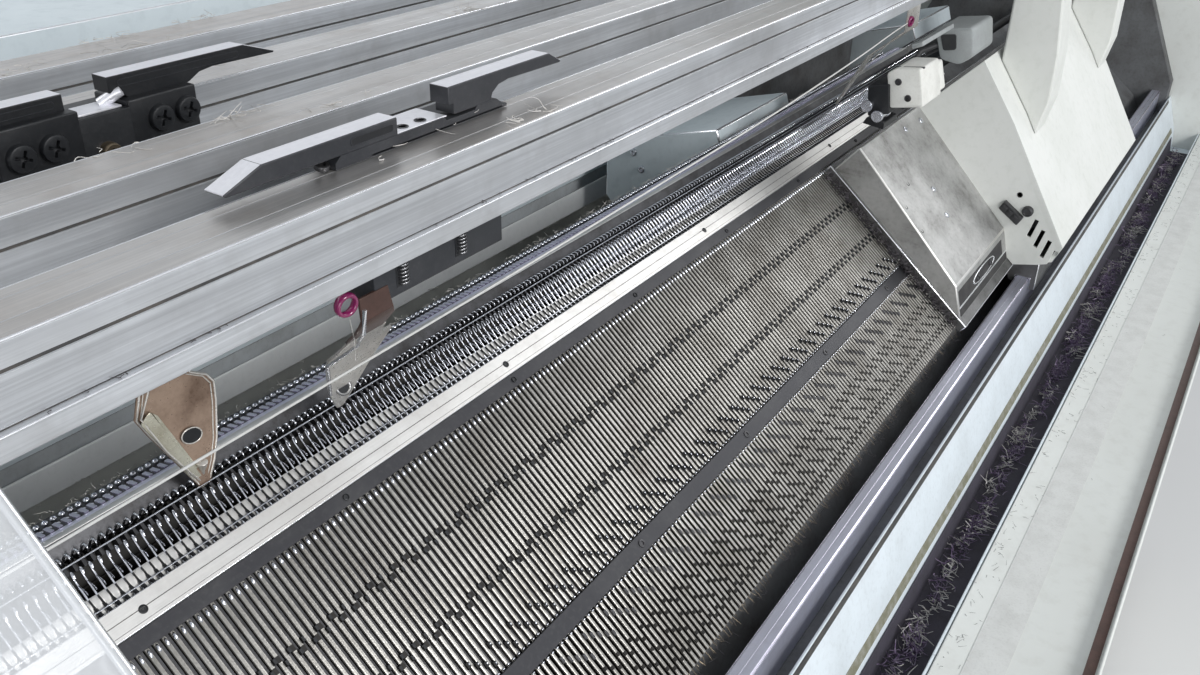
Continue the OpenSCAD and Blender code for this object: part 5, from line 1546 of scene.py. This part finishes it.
# Lint.
class KNIT_OT_lint(Operator):
    """Scatters fibres, tufts and flecks over the gap, the bed ends, the trough and the ledge"""

    bl_idname = "knit.lint"
    bl_label = "Lint"

    def execute(self, context):
        rng = np.random.default_rng(5)
        tufts = context.scene.knit_sizes.lint_tufts
        self.gap(rng)
        self.bed_end(rng)
        self.trough(rng, tufts)
        self.ledge(rng)
        return {"FINISHED"}

    def gap(self, rng):
        """White fluff beside the sinker bank's knobs and on the shelf behind the rear bed."""
        n = 1300
        x = rng.uniform(-END_X, END_X, n)
        row = rng.integers(0, 2, n)
        y = np.where(row == 0, 44.0, 29.0) + rng.normal(0, 0.7, n)
        z = np.where(row == 0, 988.9, 991.2) + np.abs(rng.normal(0, 0.5, n))
        white = fluff(points(x, y, z), 2.6, 0.9, 0.16, rng, 0.5, 4)
        add_piece("bank_lint", white, "Lint", "rear_bed", smooth=60)
        x = rng.uniform(-FLUFF_X, FLUFF_X, 1500)
        place = points(x, 200.5 + rng.normal(0, 0.8, 1500), 884.6 + rng.normal(0, 0.9, 1500))
        shelf = fluff(place, 3.4, 0.9, 0.28, rng, 0.6, 4)
        add_piece("shelf_edge_lint", shelf, "Lint", smooth=60)

    def bed_end(self, rng):
        """Dark and pale fibres in the gap below the ends of the ridges."""
        n = 900
        x = rng.uniform(-END_X, END_X, n)
        place = bed_point(x, rng.uniform(207, 214, n), rng.uniform(-3.5, 0.2, n))
        hair = fluff(place, 4.5, 0.8, 0.12, rng, 0.6, 4)
        add_piece("bed_end_lint", hair, "Dark lint", smooth=60)
        m = 260
        x = rng.uniform(-END_X, END_X, m)
        place = bed_point(x, rng.uniform(40, BED_END, m), 0.3)
        pale = fluff(place, 3.2, 0.8, 0.07, rng, 0.15, 4)
        add_piece("bed_flecks", pale, "Lint", smooth=60)

    def trough(self, rng, tufts):
        """Violet and white wads in the trough: loose bunches of curled fibres round each centre."""
        for name, look, share in (("violet", "Violet lint", 1.0), ("white", "Lint", 0.5)):
            hubs = max(1, int(tufts * share))
            x = rng.uniform(-1060, 1060, hubs)
            y = rng.uniform(-231, -222, hubs)
            n = 26
            place = points(np.repeat(x, n), np.repeat(y, n), 776.0)
            place += np.abs(rng.normal(0, 1, place.shape)) * [0, 0, 4.0]
            place += rng.normal(0, 1, place.shape) * [7.0, 2.2, 0]
            wad = fluff(place, 5.5, 1.2, 0.5, rng, 0.5, 4)
            add_piece("trough_lint_" + name, wad, look, smooth=60)

    def ledge(self, rng):
        """Short dark hairs lying on the front ledge."""
        n = 700
        x = rng.uniform(-FLUFF_X, FLUFF_X, n)
        y = -246 - np.abs(rng.normal(0, 14, n))
        place = points(x, np.clip(y, -315, -246), LEDGE_Z + 0.2)
        hair = fluff(place, 4.0, 0.7, 0.11, rng, 0.03, 4)
        add_piece("ledge_hairs", hair, "Dark lint", smooth=60)


# Drive, table, shield.
class KNIT_OT_drive(Operator):
    """Dresses the drive belt and its two pulleys"""

    bl_idname = "knit.drive"
    bl_label = "Drive"

    def execute(self, context):
        dressed("drive_belt", "Belt rubber", 0.4, "belt_rubber")
        for end in ("left", "right"):
            dressed("drive_pulley_" + end, "Turned aluminium", 0.5, "pulley_alu",
                    body="pulley_" + end)
        return {"FINISHED"}


class KNIT_OT_table(Operator):
    """Dresses the yarn table and its thread tensioners"""

    bl_idname = "knit.table"
    bl_label = "Yarn table"

    def execute(self, context):
        dressed("yarn_table", "Cabinet paint", 1.0, "cabinet_paint")
        dressed("yarn_tensioners", "Turned aluminium", 0.6, "pulley_alu")
        return {"FINISHED"}


class KNIT_OT_front(Operator):
    """Dresses the front ledge and the trough with their bands, a dark sheet that paints shade and
    lint in the trough, dark edge strips, and bright lines that paint highlights on the guide rail's
    bevels
    """

    bl_idname = "knit.front"
    bl_label = "Ledge and trough"

    def execute(self, context):
        dressed("front_ledge", "Cabinet paint", 0.8, "ledge_paint")
        dressed("lint_trough", "Trough paint", 0.6, "ledge_paint")
        self.bands()
        return {"FINISHED"}

    def bands(self):
        """Bands of the ledge, a dark sheet that paints the trough's shade and lint, strips of the
        trough, bright lines that paint highlights on the guide rail's bevels.
        """
        span = (0, -LEDGE_X, LEDGE_X)
        for name, near, far, top, look in (("ledge_grey_band", -262, -284, 0.35, "Ledge paint"),
                                           ("ledge_dark_strip", -321, -327, 0.4, "Brown plate")):
            low, high = LEDGE_Z + 0.05, LEDGE_Z + top
            band_of = rounded([(near, low), (far, low), (far, high), (near, high)], 0.1, 1)
            add_piece(name, prism(*span, band_of), look)
        # A dark folded sheet in the trough paints its shade and lint.
        shade_sheet = prism(*span, folded([(-213.6, 795), (-216.4, 774.3), (-240.6, 774.3),
                                     (-243.2, 796)], 0.25))
        add_piece("trough_shade_and_lint", shade_sheet, "Trough shade and lint")
        olive = prism(*span, [(-209.6, 807.5), (-211.95, 800.6), (-212.25, 800.7), (-209.9, 807.6)])
        add_piece("trough_olive_strip", olive, "Olive strip")
        black = prism(*span, [(-196.6, 846.1), (-197.9, 842.3), (-198.2, 842.4), (-196.9, 846.2)])
        add_piece("trough_black_line", black, "Groove")
        # Bright lines along the guide rail's bevels paint their highlights.
        x = np.linspace(-RUN_X, RUN_X, 30)
        edges = [tube(points(x, y, z), r, 8) for y, z, r in
                 ((-182.4, 855.4, 0.35), (-171.6, 855.4, 0.35), (-177, 855.85, 0.22))]
        add_piece("guide_rail_edge_highlights", edges, "Guide bevel", smooth=60)


class KNIT_OT_shield(Operator):
    """Dresses the hazed front shield and its rail"""

    bl_idname = "knit.shield"
    bl_label = "Front shield"

    def execute(self, context):
        dressed("shield_rail", "Turned aluminium", 0.6, "rail_alu")
        # The shield's bevels in Rail edge paint a highlight along its edges.
        dressed("front_shield", "Shield", 0.6, "clear_shield", "Rail edge", "shield")
        return {"FINISHED"}


# Panel and run.
STEPS = (KNIT_OT_stage, KNIT_OT_cabinets, KNIT_OT_structure, KNIT_OT_needle_beds, KNIT_OT_needles,
         KNIT_OT_rails, KNIT_OT_feeders, KNIT_OT_carriage, KNIT_OT_drive, KNIT_OT_table,
         KNIT_OT_front, KNIT_OT_shield, KNIT_OT_yarn, KNIT_OT_lint)


class KNIT_PT_panel(Panel):
    """Lists the sizes, colours and building steps of the knitting machine"""

    bl_idname = "KNIT_PT_panel"
    bl_label = "Flat Knitting Machine"
    bl_space_type = "VIEW_3D"
    bl_region_type = "UI"
    bl_category = "Knitting"

    def draw(self, context):
        for group in (context.scene.knit_sizes, context.scene.knit_colours):
            box = self.layout.box()
            for key in group.bl_rna.properties.keys():
                if key not in ("rna_type", "name"):
                    box.prop(group, key)
        for step in STEPS:
            self.layout.operator(step.bl_idname)


CLASSES = (KnitColours, KnitSizes, *STEPS, KNIT_PT_panel)


def register():
    for item in CLASSES:
        bpy.utils.register_class(item)
    bpy.types.Scene.knit_colours = PointerProperty(type=KnitColours)
    bpy.types.Scene.knit_sizes = PointerProperty(type=KnitSizes)


def unregister():
    del bpy.types.Scene.knit_sizes
    del bpy.types.Scene.knit_colours
    for item in reversed(CLASSES):
        bpy.utils.unregister_class(item)


def main():
    register()
    build_looks()
    for step in STEPS:
        getattr(bpy.ops.knit, step.bl_idname.split(".")[1])()
    bpy.context.view_layer.update()


if __name__ == "__main__":
    main()
